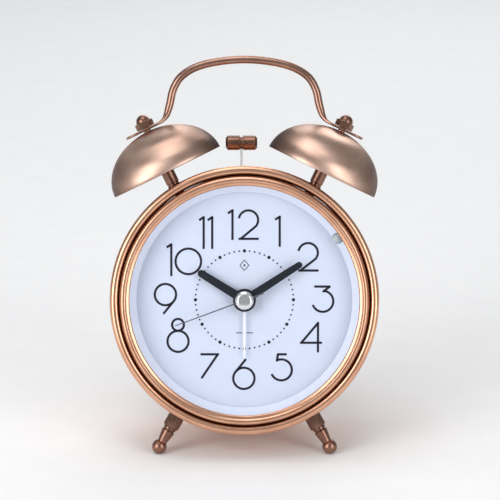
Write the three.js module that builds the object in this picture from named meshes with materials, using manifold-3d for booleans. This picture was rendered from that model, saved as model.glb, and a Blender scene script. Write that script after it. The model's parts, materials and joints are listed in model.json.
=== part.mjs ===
// Twin-bell alarm clock: a copper drum that leans back on two ball feet and its own rear rim.
//
// Everything is built upright in the clock's own frame, in millimetres: the dial faces -Y, +X is to
// the reader's right, +Z is up through 12 o'clock, and the dial's axis is the line x = 0, z = 0.
// At the end the whole clock is leaned back until its feet and rear rim stand on z = 0.

import * as THREE from 'three';
import { mergeVertices } from 'three/addons/utils/BufferGeometryUtils.js';
import Module from 'manifold-3d';

const wasm = await Module();
wasm.setup();

// ---------------------------------------------------------------- driving dimensions

const fitGap = 0.3; // clearance left between two pieces that touch in the real clock

// the drum, spun from sheet with a rolled bead at each end
const drumRadius = 53.5;
const drumWall = 0.8;
const drumFront = -21.5; // depth of the front bead's centre
const drumRear = 28; // depth of the rear bead's centre
const frontBead = 2.0; // radius of the rolled front bead
const rearBead = 1.5;

// the bezel that closes the front, and the glass and dial behind it
const bezelWidth = 4.0; // from the drum's bore in to the sight opening
const bezelRise = 3.2; // how far its crown stands in front of the drum bead's centre
const bezelSkirt = 1.0; // wall of the skirt inside the drum
const bezelLip = 2.0; // from the crown back to the glass
const lensThick = 1.6;
const lensDome = 2.2; // rise of the glass at its centre
const chapterDepth = 5.0; // depth of the sloping ring between glass and dial
const chapterSlope = 2.8; // how much narrower it gets on the way down to the dial
const dialThick = 0.8;

// the bells, tilted outwards on their posts
const bellRadius = 25.2;
const bellHeight = 19.5;
const bellWall = 1.2;
const bellTilt = THREE.MathUtils.degToRad(26);
const bellGap = 20.64; // between the two rims where the bells come closest
const bellLift = 9.3; // from the drum's skin up to the plane of the bell's rim
const bellsDepth = 2; // bells, handle and hammer share this plane across the drum
const postRadius = 2.85;
const studRadius = 1.5; // threaded ends of posts and legs
const acornFlats = 7.0;
const acornHex = 2.6; // height of the nut's hexagon
const acornDome = 2.9; // radius of its dome
const plainNutFlats = 6.0;
const plainNutHeight = 2.2;

// the carrying handle, a bent rod with flattened ends
const rodRadius = 1.7;
const tabThick = 1.1;
const tabWidth = 8.0;
const tabReach = 9.6; // from the stud out to the tab's free end
const handleRise = 29.8; // from the tabs up to the middle of the top bar

// the feet
const legAngle = THREE.MathUtils.degToRad(30);
const legsDepth = -10.8;
const legLength = 19.1; // from the drum's skin to the ball's centre
const legNutFlats = 6.0;
const legNutHeight = 8.6;
const shankTop = 2.9;
const shankEnd = 2.05;
const footBall = 3.15;
const footFlat = 0.25; // the small flat that the ball stands on

// the hammer between the bells
const hammerX = -1.3;
const hammerAboveRims = 1.46; // from the rims' closest points up to the middle of the head
const hammerPivotRise = 9; // from the movement's top up to the pivot
const hammerLength = 13.5;
const hammerRadius = 3.2;
const hammerWire = 0.4;
const strikeLeft = THREE.MathUtils.degToRad(4.3);
const strikeRight = THREE.MathUtils.degToRad(7.4);

// the quartz movement behind the dial
const movementHalf = 29;
const movementWall = 1.5;
const movementDepth = 13.5;
const setterReach = 12; // from the dial's centre out to each setting arbor
const arborRadius = 1.0;
const thinArbor = 0.4;
const wheelThick = 0.8;
const pinionStep = 0.2; // a pinion's back face behind that of its wheel
const pinionThick = 1.2;
const pipeGrip = 0.1; // clearance of a hand on its pipe

// the back cover and what is on it
const coverInset = 6.5; // how deep the cover lies inside the drum's rear rim
const coverThick = 1.5;
const knobRadius = 5.6;
const knobLength = 7.6;
const cellRadius = 7.1;
const cellLength = 49.2;
const cellSpare = 0.8; // depth left over and under the battery in its bay
const bayHeight = -26.5; // height of the battery's axis
const screwX = 22;
const screwZ = 20;
const screwShank = 1.2;
const buttonX = 17;
const buttonZ = 33;
const buttonRadius = 3.4;
const buttonProud = 3.0;
const switchTravel = 5;

// facets round each kind of turned piece
const drumFacets = 48;
const bellFacets = 28;
const smallFacets = 16;

// ---------------------------------------------------------------- sizes that follow from those

const drumBore = drumRadius - drumWall;
const bezelOuter = drumBore - fitGap;
const bezelInner = bezelOuter - bezelWidth;
const bezelCrown = drumFront - bezelRise;
const lensFront = bezelCrown + bezelLip; // face of the glass at its edge
const lensBack = lensFront + lensThick;
const stackRadius = bezelOuter - bezelSkirt - fitGap; // glass, chapter ring and dial inside the skirt
const chapterFront = lensBack + fitGap;
const chapterBack = chapterFront + chapterDepth;
const dialFront = chapterBack + fitGap;
const dialBack = dialFront + dialThick;
const movementFront = dialBack + fitGap;
const movementRear = movementFront + movementDepth;
const coverRear = drumRear + rearBead - coverInset;
const coverFront = coverRear - coverThick;
const rimPlane = drumRadius + bellLift;
const bellCrown = rimPlane + bellHeight;
// the post's axis passes this far outside the dial's centre
const bellOffset = bellRadius + (bellGap / 2 - rimPlane * Math.sin(bellTilt)) / Math.cos(bellTilt);
const rimsClosest = rimPlane * Math.cos(bellTilt) + (bellRadius - bellOffset) * Math.sin(bellTilt);
const hammerHeight = rimsClosest + hammerAboveRims;
const hammerPivotHeight = movementHalf + hammerPivotRise;
const tabBottom = bellCrown + fitGap;
const acornBottom = tabBottom + tabThick + fitGap;
const studTop = acornBottom + acornHex;

// pipes and hands, from the dial outwards
const bushRadius = 3.1;
const bushBore = 2.4;
const pipes = {
  alarm: { inner: 1.8, outer: 2.2 },
  hour: { inner: 1.2, outer: 1.6 },
  minute: { inner: 0.6, outer: 1.0 },
};
const dialNutFlats = 8.0;
const dialNutThick = 1.0;
const dialNutFront = dialFront - fitGap - dialNutThick;
const handThick = 0.6;
const thinHand = 0.4;
const hubRadius = 4.85;
const alarmHandBack = dialNutFront - fitGap;
const hourHandBack = alarmHandBack - thinHand - fitGap;
const minuteHandBack = hourHandBack - handThick - fitGap;
const secondHandBack = minuteHandBack - handThick - fitGap;
const capBack = secondHandBack - thinHand - fitGap;

// back faces of the wheels inside the movement, from the dial backwards
const alarmLayer = movementFront + movementWall + fitGap + wheelThick;
const hourLayer = alarmLayer + 1.2;
const minuteLayer = hourLayer + 2.3;
const centreLayer = minuteLayer + 2.0;
const thirdLayer = centreLayer + 1.6;
const secondLayer = thirdLayer + 1.6;

// ---------------------------------------------------------------- solids: weld, join and cut

function weld(geometry) {
  const bare = geometry.clone();
  bare.deleteAttribute('normal');
  bare.deleteAttribute('uv');
  const merged = mergeVertices(bare, 1e-4);
  const kept = [];
  const index = merged.index.array;
  for (let t = 0; t < index.length; t += 3) {
    const [a, b, c] = index.slice(t, t + 3);
    if (a !== b && b !== c && c !== a) kept.push(a, b, c);
  }
  merged.setIndex(kept);
  return merged;
}

function signedVolume(geometry) {
  const position = geometry.attributes.position;
  const corners = [new THREE.Vector3(), new THREE.Vector3(), new THREE.Vector3()];
  let volume = 0;
  for (let t = 0; t < geometry.index.count; t += 3) {
    corners.forEach((corner, k) => corner.fromBufferAttribute(position, geometry.index.array[t + k]));
    volume += corners[0].dot(corners[1].clone().cross(corners[2])) / 6;
  }
  return volume;
}

// A lathe profile may run either way round, so the faces are turned out here.
function solid(geometry) {
  const welded = weld(geometry);
  const triVerts = Uint32Array.from(welded.index.array);
  if (signedVolume(welded) < 0) {
    for (let t = 0; t < triVerts.length; t += 3) {
      [triVerts[t], triVerts[t + 1]] = [triVerts[t + 1], triVerts[t]];
    }
  }
  const vertProperties = Float32Array.from(welded.attributes.position.array);
  return new wasm.Manifold(new wasm.Mesh({ numProp: 3, vertProperties, triVerts }));
}

function join(...geometries) {
  return geometries.map((geometry) => solid(geometry)).reduce((whole, part) => whole.add(part));
}

function cut(whole, ...tools) {
  return tools.reduce((left, tool) => left.subtract(solid(tool)), whole);
}

function geometryOf(body) {
  const mesh = body.getMesh();
  const geometry = new THREE.BufferGeometry();
  geometry.setAttribute('position', new THREE.BufferAttribute(mesh.vertProperties, 3));
  geometry.setIndex(new THREE.BufferAttribute(mesh.triVerts, 1));
  geometry.computeVertexNormals();
  return geometry;
}

// ---------------------------------------------------------------- shapes used again and again

// A turned piece about the dial's axis: points are [radius, depth].
function turned(points, facets = smallFacets) {
  const profile = points.map(([radius, along]) => new THREE.Vector2(radius, along));
  const lathe = new THREE.LatheGeometry(profile, facets);
  return lathe.rotateY(Math.PI / facets);
}

function ring(inner, outer, from, to, facets = smallFacets) {
  const loop = [[inner, from], [outer, from], [outer, to], [inner, to], [inner, from]];
  return turned(loop, facets);
}

function disc(radius, from, to, facets = smallFacets) {
  return turned([[0, from], [radius, from], [radius, to], [0, to]], facets);
}

// The same turned pieces, but with their axis along Z.
function upright(geometry) {
  return geometry.rotateX(Math.PI / 2);
}

function arc(radius, along, bend, fromDegrees, toDegrees, steps) {
  const points = [];
  for (let k = 0; k <= steps; k += 1) {
    const angle = THREE.MathUtils.degToRad(fromDegrees + ((toDegrees - fromDegrees) * k) / steps);
    points.push([radius + bend * Math.cos(angle), along + bend * Math.sin(angle)]);
  }
  return points;
}

function block(lowX, highX, lowY, highY, lowZ, highZ) {
  const box = new THREE.BoxGeometry(highX - lowX, highY - lowY, highZ - lowZ);
  return box.translate((lowX + highX) / 2, (lowY + highY) / 2, (lowZ + highZ) / 2);
}

function hexagon(flats, from, to) {
  return disc(flats / Math.sqrt(3), from, to, 6);
}

// A flat outline in the plane of the dial, standing forwards from its back face.
function plate(shape, thick, back) {
  const extruded = new THREE.ExtrudeGeometry(shape, { depth: thick, bevelEnabled: false, curveSegments: 8 });
  return extruded.rotateX(Math.PI / 2).translate(0, back, 0);
}

// A wheel with straight-sided teeth; pitch lines touch, and the short addendum leaves backlash.
function wheel({ teeth, module, back, thick = wheelThick, phase = 0, bore = 0 }) {
  const pitch = (teeth * module) / 2;
  const shape = new THREE.Shape();
  for (let k = 0; k < 2 * teeth; k += 1) {
    const radius = k % 2 === 0 ? pitch + 0.4 * module : pitch - 0.8 * module;
    const angle = phase + (k * Math.PI) / teeth;
    const move = k === 0 ? 'moveTo' : 'lineTo';
    shape[move](radius * Math.cos(angle), radius * Math.sin(angle));
  }
  shape.closePath();
  if (bore > 0) shape.holes.push(new THREE.Path().absarc(0, 0, bore, 0, 2 * Math.PI, true));
  return plate(shape, thick, back);
}

function gearDistance(teethA, teethB, module) {
  return ((teethA + teethB) * module) / 2;
}

// ---------------------------------------------------------------- finishes and naming

function finish(color, roughness, metalness, extra = {}) {
  return new THREE.MeshStandardMaterial({ color, roughness, metalness, ...extra });
}

const copper = () => finish(0xe0b090, 0.25, 1);
const bellCopper = () => finish(0xe6c3a8, 0.3, 1);
const darkCopper = () => finish(0x9a6a50, 0.35, 1);
const steel = () => finish(0xc4c6c8, 0.3, 1);
const brass = () => finish(0xc9a860, 0.35, 1);
const blackPaint = () => finish(0x1a1c22, 0.45, 0);
const blackPlastic = () => finish(0x202124, 0.5, 0);
const whitePlastic = () => finish(0xe8e8e6, 0.5, 0);
const dialWhite = () => finish(0xd8e0f2, 0.6, 0);
const glass = () => finish(0xf4f8fa, 0.05, 0, { transparent: true, opacity: 0.25 });

function named(name, body, material) {
  const geometry = body instanceof THREE.BufferGeometry ? geometryOf(solid(body)) : geometryOf(body);
  const mesh = new THREE.Mesh(geometry, material);
  mesh.name = name;
  return mesh;
}

const sides = [['left', -1], ['right', 1]];

// Frames of a bell and of a leg: z runs out from the dial's centre along the post or the leg.
function bellFrame(side) {
  const turn = new THREE.Matrix4().makeRotationY(side * bellTilt);
  return turn.multiply(new THREE.Matrix4().makeTranslation(side * bellOffset, bellsDepth, 0));
}

function legFrame(side) {
  const turn = new THREE.Matrix4().makeRotationY(side * (Math.PI - legAngle));
  return turn.multiply(new THREE.Matrix4().makeTranslation(0, legsDepth, 0));
}

// ---------------------------------------------------------------- how far the clock leans back

// Ball feet and rear rim touch the same table: (reach) sin(lean) - (drop) cos(lean) = (bulge).
const reach = drumRear - legsDepth;
const drop = (drumRadius + legLength) * Math.cos(legAngle) - (drumBore + rearBead);
const bulge = footBall - footFlat - rearBead;
const lean = Math.atan2(drop, reach) + Math.asin(bulge / Math.hypot(reach, drop));

// ---------------------------------------------------------------- case

function caseDrum() {
  const frontCentre = drumBore + frontBead;
  const rearCentre = drumBore + rearBead;
  const frontMeets = THREE.MathUtils.radToDeg(Math.acos((drumRadius - frontCentre) / frontBead));
  const rearMeets = THREE.MathUtils.radToDeg(Math.acos((drumRadius - rearCentre) / rearBead));
  const front = arc(frontCentre, drumFront, frontBead, -180, frontMeets, 7);
  const rear = arc(rearCentre, drumRear, rearBead, -rearMeets, 180, 6);
  const shell = turned([...front, ...rear, front[0]], drumFacets);
  const slotReach = drumBore - hammerPivotHeight + 3;
  const slotLeft = hammerX - slotReach * Math.sin(strikeLeft) - 1.2;
  const slotRight = hammerX + slotReach * Math.sin(strikeRight) + 1.2;
  const slot = block(slotLeft, slotRight, bellsDepth - 1.4, bellsDepth + 1.4, drumBore - 5, drumRadius + 5);
  const holes = sides.flatMap(([, side]) => [bellFrame(side), legFrame(side)].map((frame) => {
    const drill = upright(disc(studRadius + fitGap, drumBore - 5, drumRadius + 5, 12));
    return drill.applyMatrix4(frame);
  }));
  return named('case_drum', cut(solid(shell), slot, ...holes), copper());
}

function frontBezel() {
  const stepRadius = bezelInner + 0.45 * bezelWidth;
  const skirtBore = bezelOuter - bezelSkirt;
  const crownBend = (bezelOuter - stepRadius) / 2;
  const crown = arc(stepRadius + crownBend, bezelCrown + crownBend, crownBend, 0, -150, 5);
  const profile = [
    [skirtBore, dialBack],
    [bezelOuter, dialBack],
    ...crown,
    [stepRadius - 0.2, bezelCrown + 0.9],
    [bezelInner, lensFront - fitGap - 0.5],
    [bezelInner, lensFront - fitGap],
    [skirtBore, lensFront - fitGap],
    [skirtBore, dialBack],
  ];
  return named('front_bezel', turned(profile, drumFacets), copper());
}

function lens() {
  const bow = (stackRadius ** 2 + lensDome ** 2) / (2 * lensDome);
  const depthAt = (radius, edge) => edge - (Math.sqrt(bow ** 2 - radius ** 2) - (bow - lensDome));
  const radii = [0, 0.4, 0.7, 0.9, 1].map((share) => share * stackRadius);
  const frontFace = radii.map((radius) => [radius, depthAt(radius, lensFront)]);
  const backFace = radii.map((radius) => [radius, depthAt(radius, lensBack)]).reverse();
  return named('lens', turned([...frontFace, ...backFace], drumFacets), glass());
}

const bulbRadius = 2.1;
const bulbAngle = THREE.MathUtils.degToRad(56.3); // clockwise from 12
const bulbReach = bezelInner - 1.2;

function atBulb(geometry) {
  return geometry.translate(bulbReach * Math.sin(bulbAngle), 0, bulbReach * Math.cos(bulbAngle));
}

function chapterRing() {
  const profile = [
    [bezelInner + 0.2, chapterFront],
    [stackRadius, chapterFront],
    [stackRadius, chapterBack],
    [bezelInner - chapterSlope, chapterBack],
    [bezelInner + 0.2, chapterFront],
  ];
  const notch = atBulb(disc(bulbRadius + fitGap, chapterFront - 1, chapterBack + 1, 12));
  return named('chapter_ring', cut(solid(turned(profile, drumFacets)), notch), dialWhite());
}

function dial() {
  return named('dial', ring(bushRadius + fitGap, stackRadius, dialFront, dialBack, drumFacets), dialWhite());
}

function nightLight() {
  const dome = arc(0, dialFront - fitGap - 2.6, bulbRadius, 0, -90, 4);
  const bulb = turned([[0, dialFront - fitGap], [bulbRadius, dialFront - fitGap], ...dome], 12);
  return named('night_light_bulb', atBulb(bulb), finish(0xb8c4c0, 0.2, 0));
}

// ---------------------------------------------------------------- bells and handle

function bellShell(name) {
  const outer = new THREE.EllipseCurve(0, rimPlane, bellRadius, bellHeight, 0, Math.PI / 2);
  const inner = new THREE.EllipseCurve(
    0, rimPlane, bellRadius - bellWall, bellHeight - bellWall, Math.PI / 2, 0, true,
  );
  const curvePoints = [...outer.getPoints(7), ...inner.getPoints(6)];
  const profile = curvePoints.map((point) => [Math.max(point.x, 0), point.y]);
  const hole = upright(disc(studRadius + fitGap, bellCrown - 4, bellCrown + 4, 12));
  const dome = upright(turned([...profile, profile[0]], bellFacets));
  return named(name, cut(solid(dome), hole), bellCopper());
}

function bellPost(name) {
  const shoulder = bellCrown - bellWall - 2 * fitGap;
  const profile = [
    [0, drumBore - plainNutHeight - 2],
    [studRadius, drumBore - plainNutHeight - 2],
    [studRadius, drumRadius + 0.8],
    [postRadius, drumRadius + 0.8],
    [postRadius, shoulder],
    [studRadius, shoulder],
    [studRadius, studTop],
    [0, studTop],
  ];
  return named(name, upright(turned(profile)), darkCopper());
}

function acornNut(name) {
  const domeBase = acornBottom + acornHex;
  const dome = turned([[0, domeBase - 0.4], ...arc(0, domeBase, acornDome, 0, 90, 5)], smallFacets);
  const bore = disc(studRadius + fitGap, acornBottom - 1, studTop + fitGap, 12);
  const nut = cut(join(hexagon(acornFlats, acornBottom, domeBase), dome), bore);
  return named(name, upright(geometryOf(nut)), darkCopper());
}

function plainNut(name, flats, from, to) {
  const nut = cut(solid(hexagon(flats, from, to)), disc(studRadius + fitGap, from - 1, to + 1, 12));
  return named(name, upright(geometryOf(nut)), darkCopper());
}

// Height at which a nut inside the drum meets its curved bore, with the stud's axis this far off centre.
function innerNutSeat(offset) {
  const edge = Math.abs(offset) + plainNutFlats / Math.sqrt(3);
  return Math.sqrt(drumBore ** 2 - edge ** 2) - fitGap;
}

function bellAssembly(label, side) {
  const assembly = new THREE.Group();
  const innerNutTop = innerNutSeat(bellOffset);
  assembly.add(bellShell(`bell_${label}`));
  assembly.add(bellPost(`bell_post_${label}`));
  assembly.add(acornNut(`acorn_nut_${label}`));
  assembly.add(plainNut(`post_nut_${label}`, plainNutFlats, innerNutTop - plainNutHeight, innerNutTop));
  assembly.applyMatrix4(bellFrame(side));
  return assembly;
}

// The rod's middle line on the right-hand side, as steps in from and up from the tab's centre.
function handlePath(tabX, tabZ) {
  const steps = [[4.8, 2.3], [7, 3.8], [8.5, 6], [10.1, 11.4], [11.3, 16.7], [14.6, 22.3], [22.5, 27]];
  const right = steps.map(([inward, up]) => new THREE.Vector3(tabX - inward, bellsDepth, tabZ + up));
  const left = right.map((point) => new THREE.Vector3(-point.x, point.y, point.z)).reverse();
  const top = new THREE.Vector3(0, bellsDepth, tabZ + handleRise);
  return new THREE.CatmullRomCurve3([...right, top, ...left], false, 'centripetal');
}

function handle() {
  const middle = tabBottom + tabThick / 2;
  const tabs = sides.map(([, side]) => {
    const outline = new THREE.Shape();
    outline.moveTo(-6.4, -tabWidth / 2).lineTo(tabReach - tabWidth / 2, -tabWidth / 2);
    outline.absarc(tabReach - tabWidth / 2, 0, tabWidth / 2, -Math.PI / 2, Math.PI / 2, false);
    outline.lineTo(-6.4, tabWidth / 2);
    outline.closePath();
    outline.holes.push(new THREE.Path().absarc(0, 0, studRadius + fitGap, 0, 2 * Math.PI, true));
    const sheet = { depth: tabThick, bevelEnabled: false, curveSegments: 6 };
    const tab = new THREE.ExtrudeGeometry(outline, sheet);
    tab.scale(side, 1, 1).translate(0, 0, tabBottom);
    return tab.applyMatrix4(bellFrame(side));
  });
  const tabX = bellOffset * Math.cos(bellTilt) + middle * Math.sin(bellTilt);
  const tabZ = middle * Math.cos(bellTilt) - bellOffset * Math.sin(bellTilt);
  const section = new THREE.Shape().absarc(0, 0, rodRadius, 0, 2 * Math.PI, false);
  const extrudePath = handlePath(tabX, tabZ);
  const rod = new THREE.ExtrudeGeometry(section, { steps: 32, curveSegments: 5, extrudePath });
  const undersides = sides.map(([, side]) => {
    const under = block(-12, 12, -tabWidth, tabWidth, tabBottom - 8, tabBottom);
    return under.applyMatrix4(bellFrame(side));
  });
  const flattened = cut(solid(rod), ...undersides);
  return named('handle', flattened.add(join(...tabs)), copper());
}

// ---------------------------------------------------------------- feet

function leg(name, side) {
  const ballCentre = drumRadius + legLength;
  const nutEnd = drumRadius + 0.8 + legNutHeight;
  const profile = [
    [0, drumBore - plainNutHeight - 2],
    [studRadius, drumBore - plainNutHeight - 2],
    [studRadius, nutEnd + fitGap],
    [shankTop, nutEnd + fitGap],
    [shankTop, nutEnd + 1.2],
    [shankEnd, ballCentre - footBall * 0.72],
    ...arc(0, ballCentre, footBall, -42, 90, 6),
  ];
  const down = new THREE.Vector3(0, Math.sin(lean), -Math.cos(lean));
  const frame = legFrame(side);
  const ballAt = new THREE.Vector3(0, 0, ballCentre).applyMatrix4(frame);
  const table = new THREE.BoxGeometry(20, 20, 20).rotateX(lean);
  table.translate(...ballAt.addScaledVector(down, footBall - footFlat + 10).toArray());
  table.applyMatrix4(frame.clone().invert());
  return named(name, cut(solid(upright(turned(profile))), table), darkCopper());
}

function legAssembly(label, side) {
  const assembly = new THREE.Group();
  const innerNutTop = innerNutSeat(0);
  assembly.add(leg(`leg_${label}`, side));
  assembly.add(plainNut(`leg_nut_${label}`, legNutFlats, drumRadius + 0.8, drumRadius + 0.8 + legNutHeight));
  assembly.add(plainNut(`leg_lock_nut_${label}`, plainNutFlats, innerNutTop - plainNutHeight, innerNutTop));
  assembly.applyMatrix4(legFrame(side));
  return assembly;
}

// ---------------------------------------------------------------- hands

// A tapered hand with a round tip and a round hub, pointing to 12 before it is turned.
function handOutline({ length, rootWidth, tipWidth, hub, bore, tail = 0 }) {
  const shape = new THREE.Shape();
  const tip = tipWidth / 2;
  shape.moveTo(rootWidth / 2, -tail);
  shape.lineTo(tip, length - tip);
  shape.absarc(0, length - tip, tip, 0, Math.PI, false);
  shape.lineTo(-rootWidth / 2, -tail);
  shape.closePath();
  return { shape, hub, bore };
}

function hand(name, spec, thick, back, clockwiseDegrees, material) {
  const { shape, hub, bore } = handOutline(spec);
  const blade = plate(shape, thick, back);
  const boss = disc(hub, back - thick, back, 20);
  const whole = join(blade, boss);
  const drilled = bore > 0 ? cut(whole, disc(bore, back - thick - 1, back + 1, 12)) : whole;
  const turnedHand = geometryOf(drilled).rotateY(THREE.MathUtils.degToRad(clockwiseDegrees));
  return named(name, turnedHand, material);
}

function hands() {
  const alarm = { length: 24.4, rootWidth: 1.2, tipWidth: 0.9, hub: 4.0, bore: pipes.alarm.outer + 0.1 };
  const hourBore = pipes.hour.outer + pipeGrip;
  const hour = { length: 22.9, rootWidth: 3.8, tipWidth: 3.15, hub: hubRadius, bore: hourBore };
  const minuteBore = pipes.minute.outer + pipeGrip;
  const minute = { length: 28.8, rootWidth: 3.6, tipWidth: 2.75, hub: hubRadius, bore: minuteBore };
  const second = { length: 31.3, rootWidth: 0.7, tipWidth: 0.5, hub: 2.2, bore: thinArbor + 0.1, tail: 8.5 };
  const cap = [[0, capBack], [3.9, capBack], ...arc(0, capBack + 3.4, 5.5, -45, -90, 4)];
  return [
    hand('alarm_hand', alarm, thinHand, alarmHandBack, 180, whitePlastic()),
    hand('hour_hand', hour, handThick, hourHandBack, -58.3, blackPaint()),
    hand('minute_hand', minute, handThick, minuteHandBack, 57.2, blackPaint()),
    hand('second_hand', second, thinHand, secondHandBack, 249.8, steel()),
    named('hand_cap', turned(cap, 20), steel()),
  ];
}

// ---------------------------------------------------------------- movement

// The threaded neck that the dial nut grips is moulded with the front half of the case.
function movementFrontCase() {
  const half = movementHalf;
  const tray = solid(block(-half, half, movementFront, movementFront + movementWall, -half, half));
  const neck = ring(bushBore, bushRadius, dialNutFront, movementFront + 0.6);
  const bore = disc(bushBore, movementFront - 1, movementFront + movementWall + 1);
  return named('movement_front_case', cut(tray, bore).add(solid(neck)), blackPlastic());
}

function movementRearCase() {
  const half = movementHalf;
  const front = movementFront + movementWall + fitGap;
  const inside = half - movementWall;
  const floor = movementRear - movementWall;
  const cup = cut(
    solid(block(-half, half, front, movementRear, -half, half)),
    block(-inside, inside, front - 1, floor, -inside, inside),
    disc(arborRadius + fitGap, floor - 1, movementRear + 1, 12).translate(setterReach, 0, 0),
    disc(arborRadius + fitGap, floor - 1, movementRear + 1, 12).translate(-setterReach, 0, 0),
  );
  const pillars = [-screwX, screwX].map((x) => {
    const pillar = ring(screwShank + fitGap, 3, movementRear - 0.5, coverFront - fitGap, 12);
    return solid(pillar.translate(x, 0, screwZ));
  });
  const whole = pillars.reduce((body, pillar) => body.add(pillar), cup);
  return named('movement_rear_case', whole, blackPlastic());
}

function dialNut() {
  const body = solid(hexagon(dialNutFlats, dialNutFront, dialNutFront + dialNutThick));
  const hole = disc(bushRadius + fitGap, dialNutFront - 1, dialNutFront + dialNutThick + 1);
  return named('dial_nut', cut(body, hole), brass());
}

// Motion work: the setting arbor drives the minute pipe 3 to 1 and the hour pipe 1 to 4.
const minuteModule = (2 * setterReach) / (36 + 12);
const hourModule = (2 * setterReach) / (40 + 10);
const halfTooth = (teeth) => Math.PI / teeth;

function pipe(bore, outer, front, back) {
  return ring(bore, outer, front, back, 12);
}

function minutePipe() {
  const { inner, outer } = pipes.minute;
  const tube = pipe(inner, outer, minuteHandBack - handThick, centreLayer - wheelThick - fitGap);
  const pinion = wheel({ teeth: 12, module: minuteModule, back: minuteLayer, thick: 1.2, bore: 0.8 });
  return named('minute_pipe', join(tube, pinion), brass());
}

function hourWheel() {
  const { inner, outer } = pipes.hour;
  const tube = pipe(inner, outer, hourHandBack - handThick, hourLayer);
  const teeth = wheel({ teeth: 40, module: hourModule, back: hourLayer, bore: (inner + outer) / 2 });
  return named('hour_wheel', join(tube, teeth), whitePlastic());
}

function alarmWheel() {
  const { inner, outer } = pipes.alarm;
  const tube = pipe(inner, outer, alarmHandBack - thinHand, alarmLayer);
  const teeth = wheel({ teeth: 40, module: hourModule, back: alarmLayer, bore: (inner + outer) / 2 });
  return named('alarm_wheel', join(tube, teeth), whitePlastic());
}

function minuteWheel() {
  const knobEnd = coverRear + fitGap + knobLength - 2;
  const arbor = disc(arborRadius, hourLayer - 1.0, knobEnd, 12);
  const phase = Math.PI + halfTooth(36);
  const large = wheel({ teeth: 36, module: minuteModule, back: minuteLayer, phase });
  const small = wheel({
    teeth: 10, module: hourModule, back: hourLayer + 0.2, thick: 1.2, phase: Math.PI + halfTooth(10),
  });
  const whole = geometryOf(join(arbor, large, small)).translate(setterReach, 0, 0);
  return named('minute_wheel', whole, whitePlastic());
}

function alarmPinion() {
  const knobEnd = coverRear + fitGap + knobLength - 2;
  const arbor = disc(arborRadius, alarmLayer - 1.0, knobEnd, 12);
  const phase = halfTooth(10);
  const teeth = wheel({ teeth: 10, module: hourModule, back: alarmLayer + 0.1, thick: 1.0, phase });
  return named('alarm_pinion', geometryOf(join(arbor, teeth)).translate(-setterReach, 0, 0), whitePlastic());
}

// Going train: rotor 30 turns, intermediate 5, second 1, third 1/7.5 and centre 1/60 turn a minute.
const setterClearance = 1.1; // between the centre wheel's teeth and the setting arbors
const centreModule = (setterReach - arborRadius - setterClearance) / (64 / 2 + 1);
const thirdDistance = gearDistance(64, 8, centreModule);
const thirdModule = (2 * thirdDistance) / (60 + 8);
const secondModule = 0.35;
const intermediateDistance = gearDistance(40, 8, secondModule);
const rotorModule = 0.25;
const rotorDistance = intermediateDistance + gearDistance(48, 8, rotorModule);
const quarterTurn = Math.PI / 2;

function secondWheel() {
  const arbor = disc(thinArbor, secondHandBack - thinHand, movementRear - movementWall - 0.5, 12);
  const teeth = wheel({ teeth: 40, module: secondModule, back: secondLayer, phase: quarterTurn });
  const pinion = wheel({
    teeth: 8, module: thirdModule, back: thirdLayer + pinionStep, thick: pinionThick, phase: -quarterTurn,
  });
  return named('second_wheel', join(arbor, teeth, pinion), whitePlastic());
}

function thirdWheel() {
  const arbor = disc(thinArbor, centreLayer - 2, movementRear - movementWall - 0.5, 12);
  const phase = quarterTurn + halfTooth(60);
  const teeth = wheel({ teeth: 60, module: thirdModule, back: thirdLayer, phase });
  const pinion = wheel({
    teeth: 8,
    module: centreModule,
    back: centreLayer + pinionStep,
    thick: pinionThick,
    phase: quarterTurn + halfTooth(8),
  });
  const whole = geometryOf(join(arbor, teeth, pinion)).translate(0, 0, -thirdDistance);
  return named('third_wheel', whole, whitePlastic());
}

function centreWheel() {
  const bore = thinArbor + fitGap;
  const teeth = wheel({ teeth: 64, module: centreModule, back: centreLayer, phase: -quarterTurn, bore });
  return named('centre_wheel', teeth, whitePlastic());
}

function intermediateWheel() {
  const arbor = disc(thinArbor, centreLayer + fitGap, movementRear - movementWall - 0.5, 12);
  const large = wheel({ teeth: 48, module: rotorModule, back: thirdLayer, phase: quarterTurn });
  const small = wheel({
    teeth: 8,
    module: secondModule,
    back: secondLayer + pinionStep,
    thick: pinionThick,
    phase: -quarterTurn + halfTooth(8),
  });
  const whole = geometryOf(join(arbor, large, small)).translate(0, 0, intermediateDistance);
  return named('intermediate_wheel', whole, whitePlastic());
}

const magnetRadius = 2.6;
const statorBack = centreLayer - 0.2;

function rotor() {
  const arbor = disc(thinArbor, statorBack - 2.6, movementRear - movementWall - 0.5, 12);
  const magnet = disc(magnetRadius, statorBack - 1.6, statorBack);
  const pinion = wheel({
    teeth: 8,
    module: rotorModule,
    back: thirdLayer + pinionStep,
    thick: pinionThick,
    phase: -quarterTurn + halfTooth(8),
  });
  return named('rotor', geometryOf(join(arbor, magnet, pinion)).translate(0, 0, rotorDistance), steel());
}

const coilHeight = movementHalf - movementWall - 3.6;
const coilHalf = 12.4;

// One plate: the poles round the rotor, two arms, and the bar that the coil is wound on.
function stator() {
  const arm = coilHalf + fitGap;
  const low = rotorDistance - 4.2;
  const plateTop = rotorDistance + 3.8;
  const outline = new THREE.Shape();
  outline.moveTo(-arm - 3, low).lineTo(arm + 3, low);
  outline.lineTo(arm + 3, coilHeight + 1).lineTo(-arm - 3, coilHeight + 1);
  outline.closePath();
  const opening = new THREE.Path();
  opening.moveTo(-arm, plateTop).lineTo(-arm, coilHeight - 1);
  opening.lineTo(arm, coilHeight - 1).lineTo(arm, plateTop);
  opening.closePath();
  outline.holes.push(opening);
  outline.holes.push(new THREE.Path().absarc(0, rotorDistance, magnetRadius + 0.4, 0, 2 * Math.PI, true));
  return named('stator', plate(outline, 1.0, statorBack - 0.3), steel());
}

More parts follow.
